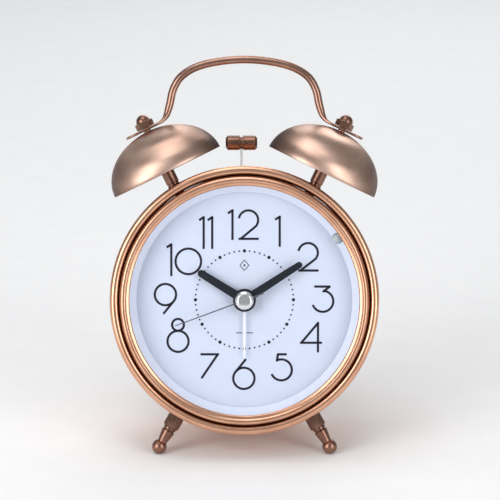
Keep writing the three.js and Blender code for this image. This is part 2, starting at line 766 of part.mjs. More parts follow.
function stepperCoil() {
  const winding = ring(1.5, 3.0, -coilHalf, coilHalf, 14);
  winding.rotateZ(-Math.PI / 2).translate(0, statorBack - 0.8, coilHeight);
  return named('stepper_coil', winding, finish(0xa5532a, 0.4, 0.8));
}

function circuitBoard() {
  const back = movementFront + movementWall + 2.6;
  const inside = movementHalf - movementWall - 1;
  return named('circuit_board', block(-20, 20, back - 1, back, -inside, -13), finish(0x2d5a3a, 0.5, 0));
}

// ---------------------------------------------------------------- hammer

function hammerBracket() {
  const shelf = movementHalf + fitGap;
  const backFace = bellsDepth + 5.2;
  const magnetX = hammerX - 9;
  const body = join(
    block(hammerX - 14, hammerX + 9, backFace - 1, backFace, shelf, hammerPivotHeight + 5),
    block(hammerX - 14, hammerX + 9, bellsDepth - 4, backFace, shelf, shelf + 1),
    disc(arborRadius, bellsDepth - 3, backFace - 0.5, 12).translate(hammerX, 0, hammerPivotHeight),
    upright(disc(1.2, shelf + 0.5, hammerPivotHeight - 2.2, 12)).translate(magnetX, bellsDepth, 0),
  );
  return named('hammer_bracket', body, steel());
}

function hammerCoil() {
  const from = movementHalf + 1 + 2 * fitGap;
  const winding = upright(ring(1.5, 3.2, from, hammerPivotHeight - 3, 14));
  return named('hammer_coil', winding.translate(hammerX - 9, bellsDepth, 0), finish(0xa5532a, 0.4, 0.8));
}

function hammerArm() {
  const up = hammerPivotHeight;
  const body = join(
    disc(2.6, bellsDepth - 2.2, bellsDepth + 3, 14).translate(hammerX, 0, up),
    block(hammerX - 12, hammerX, bellsDepth - 2, bellsDepth + 2, up - 0.8, up + 0.8),
    upright(disc(1.5, up + 1.5, up + 6, 12)).translate(hammerX, bellsDepth, 0),
  );
  const pivotHole = disc(arborRadius + 0.2, bellsDepth - 5, bellsDepth + 6, 12).translate(hammerX, 0, up);
  const socket = upright(disc(hammerWire + fitGap, up + 3.2, up + 8, 8)).translate(hammerX, bellsDepth, 0);
  return named('hammer_arm', cut(body, pivotHole, socket), steel());
}

function hammerRod() {
  const wire = upright(disc(hammerWire, hammerPivotHeight + 3.5, hammerHeight + 0.8, 8));
  return named('hammer_rod', wire.translate(hammerX, bellsDepth, 0), steel());
}

function hammerHead() {
  const half = hammerLength / 2;
  const chamfer = 1.0;
  const groove = 0.7;
  const profile = [
    [0, -half], [hammerRadius - chamfer, -half], [hammerRadius, -half + chamfer],
    [hammerRadius, -groove], [hammerRadius - 0.6, -groove],
    [hammerRadius - 0.6, groove], [hammerRadius, groove],
    [hammerRadius, half - chamfer], [hammerRadius - chamfer, half], [0, half],
  ];
  const barrel = turned(profile).rotateZ(-Math.PI / 2).translate(hammerX, bellsDepth, hammerHeight);
  const socket = upright(disc(hammerWire + 0.2, hammerHeight - 5, hammerHeight + 1.2, 8));
  const body = cut(solid(barrel), socket.translate(hammerX, bellsDepth, 0));
  return named('hammer_head', body, darkCopper());
}

// ---------------------------------------------------------------- back cover, controls and battery

const bayHalfLength = cellLength / 2 + 3.4;
const bayHalfWidth = cellRadius + 0.5;
const bayDepth = 2 * cellRadius + cellSpare;
const bayFloor = coverRear - coverThick - bayDepth;

function switchSlot() {
  const reachX = switchTravel / 2 + 1.2 + fitGap;
  const [low, high] = [buttonZ - 1.5, buttonZ + 1.5];
  return block(-buttonX - reachX, -buttonX + reachX, coverFront - 2, coverRear + 2, low, high);
}

function backCover() {
  const wall = 1.5;
  const [long, wide] = [bayHalfLength, bayHalfWidth];
  const sheet = disc(bezelOuter, coverFront, coverRear, drumFacets);
  const lip = ring(bezelOuter - 1.5, bezelOuter, coverFront - 4, coverFront + 0.5, drumFacets);
  const [bayLow, bayHigh] = [bayHeight - wide, bayHeight + wide];
  const tub = block(
    -long - wall, long + wall, bayFloor - wall, coverFront + 0.5, bayLow - wall, bayHigh + wall,
  );
  const arborHole = disc(arborRadius + fitGap, coverFront - 1, coverRear + 1, 12);
  const body = cut(
    join(sheet, lip, tub),
    block(-long, long, bayFloor, coverRear + 2, bayLow, bayHigh),
    arborHole.clone().translate(setterReach, 0, 0),
    arborHole.clone().translate(-setterReach, 0, 0),
    disc(screwShank + fitGap, coverFront - 1, coverRear + 1, 12).translate(screwX, 0, screwZ),
    disc(screwShank + fitGap, coverFront - 1, coverRear + 1, 12).translate(-screwX, 0, screwZ),
    disc(buttonRadius + fitGap, coverFront - 1, coverRear + 1).translate(buttonX, 0, buttonZ),
    switchSlot(),
  );
  return named('back_cover', body, darkCopper());
}

function knob(name, x) {
  const front = coverRear + fitGap;
  const lobes = 12;
  const outline = new THREE.Shape();
  for (let k = 0; k < 2 * lobes; k += 1) {
    const radius = k % 2 === 0 ? knobRadius : knobRadius - 0.5;
    const angle = (k * Math.PI) / lobes;
    outline[k === 0 ? 'moveTo' : 'lineTo'](radius * Math.cos(angle), radius * Math.sin(angle));
  }
  outline.closePath();
  const grip = plate(outline, knobLength - 2, front + knobLength);
  const collar = disc(knobRadius - 1.2, front, front + 2.2);
  const bore = disc(arborRadius + fitGap, front - 1, front + knobLength - 2 + fitGap, 12);
  return named(name, geometryOf(cut(join(grip, collar), bore)).translate(x, 0, 0), blackPlastic());
}

function lightButton() {
  const body = join(
    disc(buttonRadius, coverFront - 3.2, coverRear + buttonProud),
    disc(buttonRadius + 1.2, coverFront - 3.2 - fitGap, coverFront - fitGap),
  );
  return named('light_button', geometryOf(body).translate(buttonX, 0, buttonZ), blackPlastic());
}

function alarmSwitch() {
  const x = -buttonX - switchTravel / 2;
  const body = join(
    block(x - 1.2, x + 1.2, coverFront - 1, coverRear + 0.8, buttonZ - 1.2, buttonZ + 1.2),
    block(x - 2.2, x + 2.2, coverRear + fitGap, coverRear + 2.4, buttonZ - 2.6, buttonZ + 2.6),
    block(x - 3, x + 3, coverFront - 1.6, coverFront - fitGap, buttonZ - 2.4, buttonZ + 2.4),
  );
  return named('alarm_switch', body, blackPlastic());
}

function backScrew(name, x) {
  const [seat, crown] = [coverRear + fitGap, coverRear + 1.5];
  const head = turned([[0, seat], [2.4, seat], [2.0, crown], [0, crown]]);
  const shank = disc(screwShank, movementRear + 6, coverRear + 0.8, 12);
  const slot = block(-3, 3, coverRear + 1.0, coverRear + 3, -0.35, 0.35);
  const body = cut(join(head, shank), slot);
  return named(name, geometryOf(body).translate(x, 0, screwZ), steel());
}

function batteryCell() {
  const half = cellLength / 2;
  const profile = [
    [0, -half], [cellRadius - 0.3, -half], [cellRadius, -half + 0.3],
    [cellRadius, half - 1.0], [cellRadius - 0.6, half - 0.6],
    [2.7, half - 0.6], [2.7, half + 0.6], [0, half + 0.6],
  ];
  const cell = turned(profile).rotateZ(-Math.PI / 2);
  const depth = bayFloor + fitGap + cellRadius;
  return named('battery', cell.translate(0.6, depth, bayHeight), finish(0x3a6ea8, 0.35, 0.5));
}

function batteryDoor() {
  const [long, wide] = [bayHalfLength - fitGap, bayHalfWidth - fitGap];
  const [low, high] = [bayHeight - wide, bayHeight + wide];
  const lid = join(
    block(-long, long, coverFront, coverRear, low, high),
    block(-4, 4, coverRear - 0.4, coverRear + 0.9, high - 2.4, high - 0.8),
  );
  return named('battery_door', lid, darkCopper());
}

function batteryContacts() {
  const depth = bayFloor + fitGap + cellRadius;
  const springEnd = -cellLength / 2 + 0.6 - fitGap;
  const wall = -bayHalfLength + fitGap;
  const spring = turned([[0, wall], [4.2, wall], [2.4, springEnd], [0, springEnd]], 12);
  spring.rotateZ(-Math.PI / 2).translate(0, depth, bayHeight);
  const far = bayHalfLength - fitGap;
  const tab = block(far - 0.6, far, depth - 4, depth + 4, bayHeight - 4, bayHeight + 4);
  return [
    named('contact_spring', spring, steel()),
    named('contact_plate', tab, steel()),
  ];
}

// ---------------------------------------------------------------- the whole clock

const clock = new THREE.Group();
clock.add(caseDrum(), frontBezel(), lens(), chapterRing(), dial(), nightLight(), handle());
for (const [label, side] of sides) clock.add(bellAssembly(label, side), legAssembly(label, side));
clock.add(...hands());
clock.add(movementFrontCase(), movementRearCase(), dialNut());
clock.add(minutePipe(), hourWheel(), alarmWheel(), minuteWheel(), alarmPinion());
clock.add(secondWheel(), thirdWheel(), centreWheel(), intermediateWheel(), rotor());
clock.add(stator(), stepperCoil(), circuitBoard());
clock.add(hammerBracket(), hammerCoil(), hammerArm(), hammerRod(), hammerHead());
clock.add(backCover(), lightButton(), alarmSwitch());
clock.add(knob('time_knob', setterReach), knob('alarm_knob', -setterReach));
clock.add(backScrew('back_screw_left', -screwX), backScrew('back_screw_right', screwX));
clock.add(batteryCell(), batteryDoor(), ...batteryContacts());
clock.rotation.x = -lean;

// The origin goes under the middle of the leaning clock, on the table it stands on.
const box = new THREE.Box3().setFromObject(clock, true);
const middle = box.getCenter(new THREE.Vector3());
clock.position.set(-middle.x, -middle.y, -box.min.z);

const group = new THREE.Group();
group.add(clock);
export default group;
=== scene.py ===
# %% [markdown]
# # A twin-bell alarm clock, finished around its working model
# The clock's working model already exists: every wheel, bell and foot is a plain solid in its right place.
# This lesson builds the fine surfaces that a person sees, one piece at a time, in the same place and size.
# The working model is loaded first.

# %% Load the working model
import json
import math

import bmesh
import bpy
from mathutils import Matrix, Vector


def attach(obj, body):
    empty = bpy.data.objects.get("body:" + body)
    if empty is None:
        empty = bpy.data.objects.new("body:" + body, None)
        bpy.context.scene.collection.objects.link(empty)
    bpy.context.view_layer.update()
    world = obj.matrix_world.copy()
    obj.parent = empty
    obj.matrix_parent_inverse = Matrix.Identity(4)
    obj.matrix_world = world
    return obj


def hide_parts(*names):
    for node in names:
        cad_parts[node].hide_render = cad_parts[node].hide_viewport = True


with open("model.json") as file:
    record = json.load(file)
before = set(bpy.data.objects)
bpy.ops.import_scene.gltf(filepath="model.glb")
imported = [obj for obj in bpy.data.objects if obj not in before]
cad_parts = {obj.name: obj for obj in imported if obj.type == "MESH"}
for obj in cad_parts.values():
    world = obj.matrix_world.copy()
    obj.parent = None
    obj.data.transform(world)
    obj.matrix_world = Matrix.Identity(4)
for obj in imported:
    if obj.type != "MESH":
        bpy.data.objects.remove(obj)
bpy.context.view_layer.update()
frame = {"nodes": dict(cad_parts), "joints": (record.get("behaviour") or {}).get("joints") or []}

# %% [markdown]
# ## The bench the clock lies on
# A clockmaker measures a clock with its dial facing them, but this clock leans back on its feet.
# So all pieces are shaped in the clock's own upright frame, in millimetres: x to the right, y from the
# dial into the case, z up to the 12. One matrix then leans a finished piece back and scales it to metres.
# The matrix is read from the hinge of the centre wheel, because its axis is the middle of the dial.

# %% The clock's own frame
MM = 0.001
HINGE_DEPTH = -5         # the hinge's stated point lies this far in front of the frame's origin
hinges = {hinge["name"]: hinge for hinge in frame["joints"]}
inward = Vector(hinges["centre_spin"]["axis"]).normalized()
rightward = Vector((1, 0, 0))
upward = rightward.cross(inward)
lean = math.atan2(-inward.z, inward.y)
dial_middle = Vector(hinges["centre_spin"]["pos_m"]) - inward * HINGE_DEPTH * MM
clock = Matrix((
    (rightward.x * MM, inward.x * MM, upward.x * MM, dial_middle.x),
    (rightward.y * MM, inward.y * MM, upward.y * MM, dial_middle.y),
    (rightward.z * MM, inward.z * MM, upward.z * MM, dial_middle.z),
    (0, 0, 0, 1),
))
print("the clock leans back", round(math.degrees(lean), 2), "degrees")

# %% [markdown]
# ## Benches for turned and tilted pieces
# Most of the metal is turned on a lathe, and a lathe spins about one line. Each such piece gets a bench
# whose z is that line: into the case for the drum and dial, up the post for a bell, down the leg for a foot.
# Sizes are read back from the working model through the same benches, so both always agree.

# %% Benches, and reading sizes from the working model
BELL_TILT = math.radians(26)
LEG_SPREAD = math.radians(30)
BELLS_DEPTH = 2
LEGS_DEPTH = -10.8
SIDES = (("left", -1), ("right", 1))
upright = Matrix.Identity(4)
facing = Matrix.Rotation(math.radians(-90), 4, "X")        # bench z runs into the case


def extent(node, bench=upright):
    back = (clock @ bench).inverted()
    points = [back @ vertex.co for vertex in frame["nodes"][node].data.vertices]
    low = Vector([min(point[k] for point in points) for k in range(3)])
    high = Vector([max(point[k] for point in points) for k in range(3)])
    return low, high


def middle_and_half(node, bench=upright):
    """The middle of a node's box, and half of its size in each direction."""
    low, high = extent(node, bench)
    return (low + high) / 2, (high - low) / 2


def bell_bench(side):
    turn_out = Matrix.Rotation(side * BELL_TILT, 4, "Y")
    post_middle = middle_and_half(f"bell_post_{'left' if side < 0 else 'right'}", turn_out)[0]
    return turn_out @ Matrix.Translation((post_middle.x, BELLS_DEPTH, 0))


def leg_bench(side):
    return Matrix.Rotation(side * (math.pi - LEG_SPREAD), 4, "Y") @ Matrix.Translation((0, LEGS_DEPTH, 0))


drum_low, drum_high = extent("case_drum", facing)
DRUM_OUT = drum_high.x
print("drum, millimetres: radius", round(DRUM_OUT, 2), "depths", round(drum_low.z, 2), round(drum_high.z, 2))

# %% [markdown]
# ## Floor, light and camera
# Polished copper has no look of its own: it shows the room. A product studio gives it two tall white
# panels with a dark gap between them, and that gap draws the dark stripes down the bells and the bead.
# The floor is one wide sheet of pale paper that reaches past every picture's edge, from any side.

# %% The paper's finish
def plug(tree, node, values):
    """Each input named in values is joined to a socket, or set to a plain value."""
    for name, value in values.items():
        if isinstance(value, bpy.types.NodeSocket):
            tree.links.new(value, node.inputs[name])
        else:
            node.inputs[name].default_value = value


def add_node(tree, kind, values=None, **settings):
    made = tree.nodes.new(kind)
    for name, value in settings.items():
        setattr(made, name, value)
    plug(tree, made, values or {})
    return made


def blended(tree, factor, first, second):
    """One colour that turns into another as the factor goes from 0 to 1."""
    tint = add_node(tree, "ShaderNodeMix", {"Factor": factor, 6: first, 7: second}, data_type="RGBA")
    return tint.outputs[2]


def new_finish(name):
    material = bpy.data.materials.new(name)
    material.use_nodes = True
    tree = material.node_tree
    return material, tree, tree.nodes["Principled BSDF"]


def colour(red, green, blue):
    """A colour given as screen values 0..255, as light values for a shader."""
    light = [((v / 255 + 0.055) / 1.055) ** 2.4 if v > 10 else v / 255 / 12.92 for v in (red, green, blue)]
    return (*light, 1)


def paper_finish():
    material, tree, shader = new_finish("studio_paper")
    place = add_node(tree, "ShaderNodeTexCoord")
    spot = place.outputs["Object"]
    fibre = add_node(tree, "ShaderNodeTexNoise", {"Vector": spot, "Scale": 60, "Detail": 4})
    tint = blended(tree, fibre.outputs["Fac"], colour(244, 244, 244), colour(249, 249, 248))
    plug(tree, shader, {"Base Color": tint, "Roughness": 0.9, "Specular IOR Level": 0.1})
    return material


# %% The paper floor
def paper_floor():
    reach, sides = 9.0, 64
    rim = [(reach * math.cos(2 * math.pi * k / sides), reach * math.sin(2 * math.pi * k / sides), 0)
           for k in range(sides)]
    mesh = bpy.data.meshes.new("paper_floor")
    mesh.from_pydata(rim, [], [tuple(range(sides))])
    mesh.materials.append(paper_finish())
    floor = bpy.data.objects.new("paper_floor", mesh)
    bpy.context.scene.collection.objects.link(floor)
    return floor


print("floor:", paper_floor().name)


# %% Panels of light
def panel(name, place, aim, width, height, watts, tint=(1, 1, 1)):
    lamp = bpy.data.lights.new(name, "AREA")
    lamp.shape = "RECTANGLE"
    lamp.size = width
    lamp.size_y = height
    lamp.energy = watts
    lamp.color = tint
    holder = bpy.data.objects.new(name, lamp)
    bpy.context.scene.collection.objects.link(holder)
    holder.visible_camera = False
    holder.location = place
    holder.rotation_euler = (Vector(aim) - Vector(place)).to_track_quat("-Z", "Y").to_euler()
    return holder


HEART = (0, 0, 0.085)
panel("left_panel", (-0.75, -0.72, 0.42), HEART, 0.62, 0.95, 7.0)
panel("right_panel", (0.72, -0.78, 0.38), HEART, 0.50, 0.90, 4.6)
panel("top_panel", (-0.15, -0.05, 1.15), HEART, 1.0, 0.7, 4.6)
panel("back_panel_light", (0.2, 1.0, 0.75), HEART, 0.9, 0.6, 3.4)

room = bpy.data.worlds.new("room")
room.use_nodes = True
sky = room.node_tree
plug(sky, sky.nodes["Background"], {"Color": (0.86, 0.88, 0.92, 1), "Strength": 0.40})
bpy.context.scene.world = room
bpy.context.scene.view_settings.view_transform = "Standard"

# %% The camera
FRONT_BEAD_DEPTH = -21.5
VIEW_ABOVE_DIAL = math.radians(2.4)        # the eye stands a little above the dial's own axis
DISTANCE = 1.1
PICTURE_WIDE = 0.2102                      # metres seen across, at the front bead


def aim_camera():
    looking_down = lean + VIEW_ABOVE_DIAL
    picture_up = Vector((0, math.sin(looking_down), math.cos(looking_down)))
    towards_eye = Vector((0, -math.cos(looking_down), math.sin(looking_down)))
    target = clock @ Vector((0, FRONT_BEAD_DEPTH, 0)) + Vector((0.00235, 0, 0)) + picture_up * 0.0213
    lens = bpy.data.cameras.new("camera")
    lens.sensor_width = 36
    lens.lens = 36 * DISTANCE / PICTURE_WIDE
    lens.clip_end = 20
    eye = bpy.data.objects.new("camera", lens)
    bpy.context.scene.collection.objects.link(eye)
    eye.location = target + towards_eye * DISTANCE
    eye.rotation_euler = (-towards_eye).to_track_quat("-Z", "Y").to_euler()
    return eye


bpy.context.scene.camera = aim_camera()
print("camera at", [round(v, 3) for v in bpy.context.scene.camera.location])

# %% [markdown]
# ## From an outline to a solid
# Four ways of making metal cover the whole clock. A turned piece is an outline spun about a line, a
# stamped piece is a flat outline given a thickness, a drawn rod is a section carried along a path, and
# a milled piece is one solid cut by another. Sharp corners catch no light, so outlines are eased first.

# %% Easing the corners of an outline
def eased(*corners, steps=4):
    """Corners are (across, along, rounding); a closed outline with each corner rounded comes back."""
    points = []
    for k, (x, y, rounding) in enumerate(corners):
        here = Vector((x, y))
        if rounding == 0:
            points.append(here)
            continue
        before = Vector(corners[k - 1][:2]) - here
        after = Vector(corners[(k + 1) % len(corners)][:2]) - here
        half = max(before.angle(after) / 2, 0.05)
        reach = min(rounding / math.tan(half), before.length * 0.48, after.length * 0.48)
        first = here + before.normalized() * reach
        last = here + after.normalized() * reach
        for s in range(steps + 1):
            t = s / steps
            points.append((1 - t) ** 2 * first + 2 * t * (1 - t) * here + t * t * last)
    return points


def arc(x, y, radius, start, end, steps=8):
    """Points on a circle about (x, y), from one angle in degrees to another."""
    angles = [math.radians(start + (end - start) * k / steps) for k in range(steps + 1)]
    return [Vector((x + radius * math.cos(a), y + radius * math.sin(a))) for a in angles]


# %% Turning, lofting, stamping
def clean(shape):
    bmesh.ops.remove_doubles(shape, verts=shape.verts, dist=1e-4)
    bmesh.ops.dissolve_degenerate(shape, edges=shape.edges, dist=1e-4)
    bmesh.ops.recalc_face_normals(shape, faces=shape.faces)
    return shape


def skin(rings, caps=False, closed_along=False):
    """A surface through rings of the same number of points."""
    shape = bmesh.new()
    corners = [[shape.verts.new(point) for point in ring] for ring in rings]
    count = len(corners[0])
    last_ring = len(corners) if closed_along else len(corners) - 1
    for i in range(last_ring):
        here, there = corners[i], corners[(i + 1) % len(corners)]
        for k in range(count):
            shape.faces.new((here[k], here[(k + 1) % count], there[(k + 1) % count], there[k]))
    if caps:
        shape.faces.new(corners[0])
        shape.faces.new(list(reversed(corners[-1])))
    return clean(shape)


def turned(outline, facets=128):
    """A closed outline of (radius, along) points spun about z."""
    rings = []
    for k in range(facets):
        angle = 2 * math.pi * k / facets
        rings.append([(p[0] * math.cos(angle), p[0] * math.sin(angle), p[1]) for p in outline])
    return skin(rings, closed_along=True)


def stamped(outline, low, high):
    """A flat outline in x and y, given a thickness along z."""
    return skin([[(x, y, z) for x, y in outline] for z in (low, high)], caps=True)


def block(x0, x1, y0, y1, z0, z1):
    return stamped([(x0, y0), (x1, y0), (x1, y1), (x0, y1)], z0, z1)


def merged(*shapes):
    """Several solids kept side by side in one piece."""
    whole = bmesh.new()
    for shape in shapes:
        mesh = bpy.data.meshes.new("part")
        shape.to_mesh(mesh)
        whole.from_mesh(mesh)
        bpy.data.meshes.remove(mesh)
    return whole


def placed(shape, matrix):
    bmesh.ops.transform(shape, matrix=matrix, verts=shape.verts)
    return shape


# %% Cutting one solid by another
def scratch(shape):
    mesh = bpy.data.meshes.new("scratch")
    shape.to_mesh(mesh)
    item = bpy.data.objects.new("scratch", mesh)
    bpy.context.scene.collection.objects.link(item)
    return item


def solid_of(item):
    depsgraph = bpy.context.evaluated_depsgraph_get()
    mesh = bpy.data.meshes.new_from_object(item.evaluated_get(depsgraph))
    shape = bmesh.new()
    shape.from_mesh(mesh)
    return shape


def milled(body, *tools, how="DIFFERENCE"):
    """A solid after each tool has cut it (or joined it, or kept only what both share)."""
    item = scratch(body)
    helpers = [scratch(tool) for tool in tools]
    for helper in helpers:
        cut = item.modifiers.new("cut", "BOOLEAN")
        cut.operation = how
        cut.solver = "EXACT"
        cut.object = helper
    result = solid_of(item)
    for leftover in (item, *helpers):
        bpy.data.objects.remove(leftover)
    return result


# %% [markdown]
# ## Putting a piece on the clock
# Every shape ends the same way. Where asked, its edges are eased by a small bevel; its place on the bench is
# stored on each point, and the direction in which the polishing wheel ran is stored beside it. The finishes
# read both, so brushing lines follow the piece and not the room. Then the points move into place.

# %% Fitting a finished piece
def fit(name, shape, finish, body, stands_for=(), bench=upright,
        ease=0.0, crease=38, run="round"):
    item = scratch(shape)
    item.name = name
    if ease:
        bevel = item.modifiers.new("ease", "BEVEL")
        bevel.width = ease
        bevel.segments = 2
        bevel.limit_method = "ANGLE"
        bevel.angle_limit = math.radians(40)
        shape = solid_of(item)
        shape.to_mesh(item.data)
        item.modifiers.clear()
    mesh = item.data
    mesh.name = name
    spots = mesh.attributes.new("bench", "FLOAT_VECTOR", "POINT")
    grain = mesh.attributes.new("grain", "FLOAT_VECTOR", "POINT")
    to_world = clock @ bench
    turn = to_world.to_3x3().normalized()
    for point, spot, brush in zip(mesh.vertices, spots.data, grain.data):
        spot.vector = point.co
        along = Vector((-point.co.y, point.co.x, 0)) if run == "round" else Vector(run)
        brush.vector = turn @ along.normalized() if along.length > 1e-4 else turn @ Vector((1, 0, 0))
    mesh.transform(to_world)
    mesh.polygons.foreach_set("use_smooth", [True] * len(mesh.polygons))
    mesh.set_sharp_from_angle(angle=math.radians(crease))
    mesh.materials.clear()
    mesh.materials.append(finish)
    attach(item, body)
    if stands_for:
        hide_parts(*stands_for)
    print(f"{name}: {len(mesh.polygons)} faces")
    return item

# %% [markdown]
# ## Finishes: copper plate
# The case is steel plated with copper, toned brown, then buffed so that the high places turn bright
# again. Two things make it read as plate: brushing lines that run with the polishing wheel, which
# stretch each reflection sideways, and a slow drift from pink to brown where the toner stayed.
# The lines are noise that is very fine across the wheel's path and nearly constant along it.
# On top, brown is painted in: painted shade in the groove by the bezel, painted dark reflection on the
# bells' flanks.

# %% Wheel marks, used by every brushed metal
def scaled(tree, vector, times):
    longer = add_node(tree, "ShaderNodeVectorMath", {0: vector, "Scale": times}, operation="SCALE")
    return longer.outputs[0]


def spot_on(tree, kept=False):
    """Where a point lies in millimetres: on its bench, or in the room for a piece kept from the model."""
    if not kept:
        return add_node(tree, "ShaderNodeAttribute", attribute_name="bench").outputs["Vector"]
    return scaled(tree, add_node(tree, "ShaderNodeTexCoord").outputs["Object"], 1 / MM)


def from_axis(tree, parts):
    """The part of a place that lies across the bench's axis, and its length."""
    flat = add_node(tree, "ShaderNodeCombineXYZ", {"X": parts.outputs["X"], "Y": parts.outputs["Y"]})
    radius = add_node(tree, "ShaderNodeVectorMath", {0: flat.outputs[0]}, operation="LENGTH")
    return flat.outputs[0], radius.outputs["Value"]


def wheel_marks(tree, fineness, turned_piece=True, kept=False):
    """Noise that runs with the polishing wheel (fine lines) and noise that drifts slowly (clouds)."""
    spot = spot_on(tree, kept)
    parts = add_node(tree, "ShaderNodeSeparateXYZ", {"Vector": spot})
    if turned_piece:
        flat, radius = from_axis(tree, parts)
        turn = add_node(tree, "ShaderNodeVectorMath", {0: flat}, operation="NORMALIZE")
        around = turn.outputs[0]
        across = add_node(tree, "ShaderNodeCombineXYZ", {"X": radius, "Y": parts.outputs["Z"]})
    else:
        across = add_node(tree, "ShaderNodeCombineXYZ", {"X": parts.outputs["Y"], "Y": parts.outputs["Z"]})
        along = add_node(tree, "ShaderNodeCombineXYZ", {"X": parts.outputs["X"]})
        around = scaled(tree, along.outputs[0], 0.12)
    both = {0: scaled(tree, across.outputs[0], fineness), 1: scaled(tree, around, 1.6)}
    path = add_node(tree, "ShaderNodeVectorMath", both, operation="ADD")
    lines = add_node(tree, "ShaderNodeTexNoise", {"Vector": path.outputs[0], "Scale": 1.0, "Detail": 5.0})
    clouds = add_node(tree, "ShaderNodeTexNoise", {"Vector": spot, "Scale": 0.09, "Detail": 3.0})
    return lines.outputs["Fac"], clouds.outputs["Fac"]


def spanned(tree, value, low, high, start=0.3, end=0.7):
    """A 0..1 value stretched to run from low to high."""
    ends = {"From Min": start, "From Max": end, "To Min": low, "To Max": high}
    return add_node(tree, "ShaderNodeMapRange", {"Value": value, **ends}).outputs["Result"]


def relief(tree, shader, height, depth):
    """Bump of a given depth in millimetres."""
    bump = add_node(tree, "ShaderNodeBump", {"Height": height, "Strength": 1.0, "Distance": depth * MM})
    plug(tree, shader, {"Normal": bump.outputs["Normal"]})


# %% Where brown is painted in as painted shade and painted reflection
GROOVE = 52.6                           # radius of the groove beside the bezel, and half of its width
GROOVE_HALF = 0.8


def painted_flank_reflection(tree):
    """Painted dark reflection: brown on a bell's two flanks, growing with the distance from the bell's
    middle.
    """
    parts = add_node(tree, "ShaderNodeSeparateXYZ", {"Vector": spot_on(tree)})
    off_middle = add_node(tree, "ShaderNodeMath", {0: parts.outputs["X"]}, operation="ABSOLUTE")
    # painted reflection: the flanks turn brown from 12 mm to 24.5 mm off the bell's middle
    return spanned(tree, off_middle.outputs[0], 0.0, 0.97, 12.0, 24.5)


def painted_groove_shade(tree):
    """Painted shade: brown in the groove between the drum's rolled bead and the bezel, at the drum's front.
    """
    parts = add_node(tree, "ShaderNodeSeparateXYZ", {"Vector": spot_on(tree)})
    radius = from_axis(tree, parts)[1]
    off = add_node(tree, "ShaderNodeMath", {0: radius, 1: GROOVE}, operation="SUBTRACT")
    apart = add_node(tree, "ShaderNodeMath", {0: off.outputs[0]}, operation="ABSOLUTE")
    # painted shade: brown near the groove's radius, only towards the drum's front
    in_groove = spanned(tree, apart.outputs[0], 0.7, 0.0, 0.2, GROOVE_HALF)
    at_front = spanned(tree, parts.outputs["Z"], 1.0, 0.0, -21.0, -19.0)
    both = add_node(tree, "ShaderNodeMath", {0: in_groove, 1: at_front}, operation="MULTIPLY")
    return both.outputs[0]


# %% Copper in its four tones
def copper(name, bright, toned, rough, stretch, fineness=9.0, turned_piece=True, toning=0.55, painted_darkening=None):
    material, tree, shader = new_finish(name)
    lines, clouds = wheel_marks(tree, fineness, turned_piece)
    drift = blended(tree, spanned(tree, clouds, 0.0, toning), bright, toned)
    brushed = blended(tree, spanned(tree, lines, 0.0, 0.35), drift, toned)
    # painted shade and painted reflection: the mask turns the colour towards the brown
    if painted_darkening:
        brushed = blended(tree, painted_darkening(tree), brushed, PAINTED_SHADE_AND_REFLECTION_BROWN)
    gloss_drift = spanned(tree, lines, rough - 0.06, rough + 0.08)
    plug(tree, shader, {"Base Color": brushed, "Roughness": gloss_drift, "Metallic": 1.0})
    relief(tree, shader, lines, 0.006)
    if stretch:
        brush = add_node(tree, "ShaderNodeAttribute", attribute_name="grain")
        plug(tree, shader, {"Anisotropic": stretch, "Tangent": brush.outputs["Vector"]})
    return material


# the brown of the painted shade in the bezel's groove and of the painted dark reflection on the bells'
# flanks
PAINTED_SHADE_AND_REFLECTION_BROWN = colour(74, 50, 40)
# the plate carries painted shade in its groove, and the bells carry painted dark reflection on their flanks
plate_copper = copper("copper_plate", colour(236, 184, 152), colour(188, 134, 108), 0.25, 0.5,
                      painted_darkening=painted_groove_shade)
bell_copper = copper("bell_copper", colour(226, 194, 176), colour(176, 138, 120), 0.33, 0.75, 7.0,
                     painted_darkening=painted_flank_reflection)
rod_copper = copper("rod_copper", colour(186, 146, 128), colour(118, 84, 72), 0.26, 0.0, 6.0, False)
toned_copper = copper("toned_copper", colour(164, 124, 106), colour(104, 74, 62), 0.27, 0.0, 5.0, True, 0.8)
print("copper finishes:", [m.name for m in (plate_copper, bell_copper, rod_copper, toned_copper)])

# %% [markdown]
# ## Finishes: paint, print and plastic
# The dial is printed card under paint, so it is matt and almost even, with the faint mottle of a print.
# The hands are stamped and lacquered. The knobs are moulded, and a moulding shows the fine spark-eroded
# grain of its tool. Each of these is one recipe with its own colours, grain size and gloss.

# %% Paint and plastic
def coated(name, base, other, rough, grain_size, depth, mottle=0.5, gloss=0.5, metal=0.0, kept=False):
    material, tree, shader = new_finish(name)
    place = spot_on(tree, kept)
    grit = add_node(tree, "ShaderNodeTexNoise", {"Vector": place, "Scale": 1 / grain_size, "Detail": 3.0})
    patch = add_node(tree, "ShaderNodeTexNoise", {"Vector": place, "Scale": 0.12, "Detail": 2.0})
    tint = blended(tree, spanned(tree, patch.outputs["Fac"], 0.0, mottle), base, other)
    gloss_drift = spanned(tree, grit.outputs["Fac"], rough - 0.07, rough + 0.07)
    plug(tree, shader, {"Base Color": tint, "Roughness": gloss_drift})
    plug(tree, shader, {"Metallic": metal, "Specular IOR Level": gloss})
    relief(tree, shader, grit.outputs["Fac"], depth)
    return material


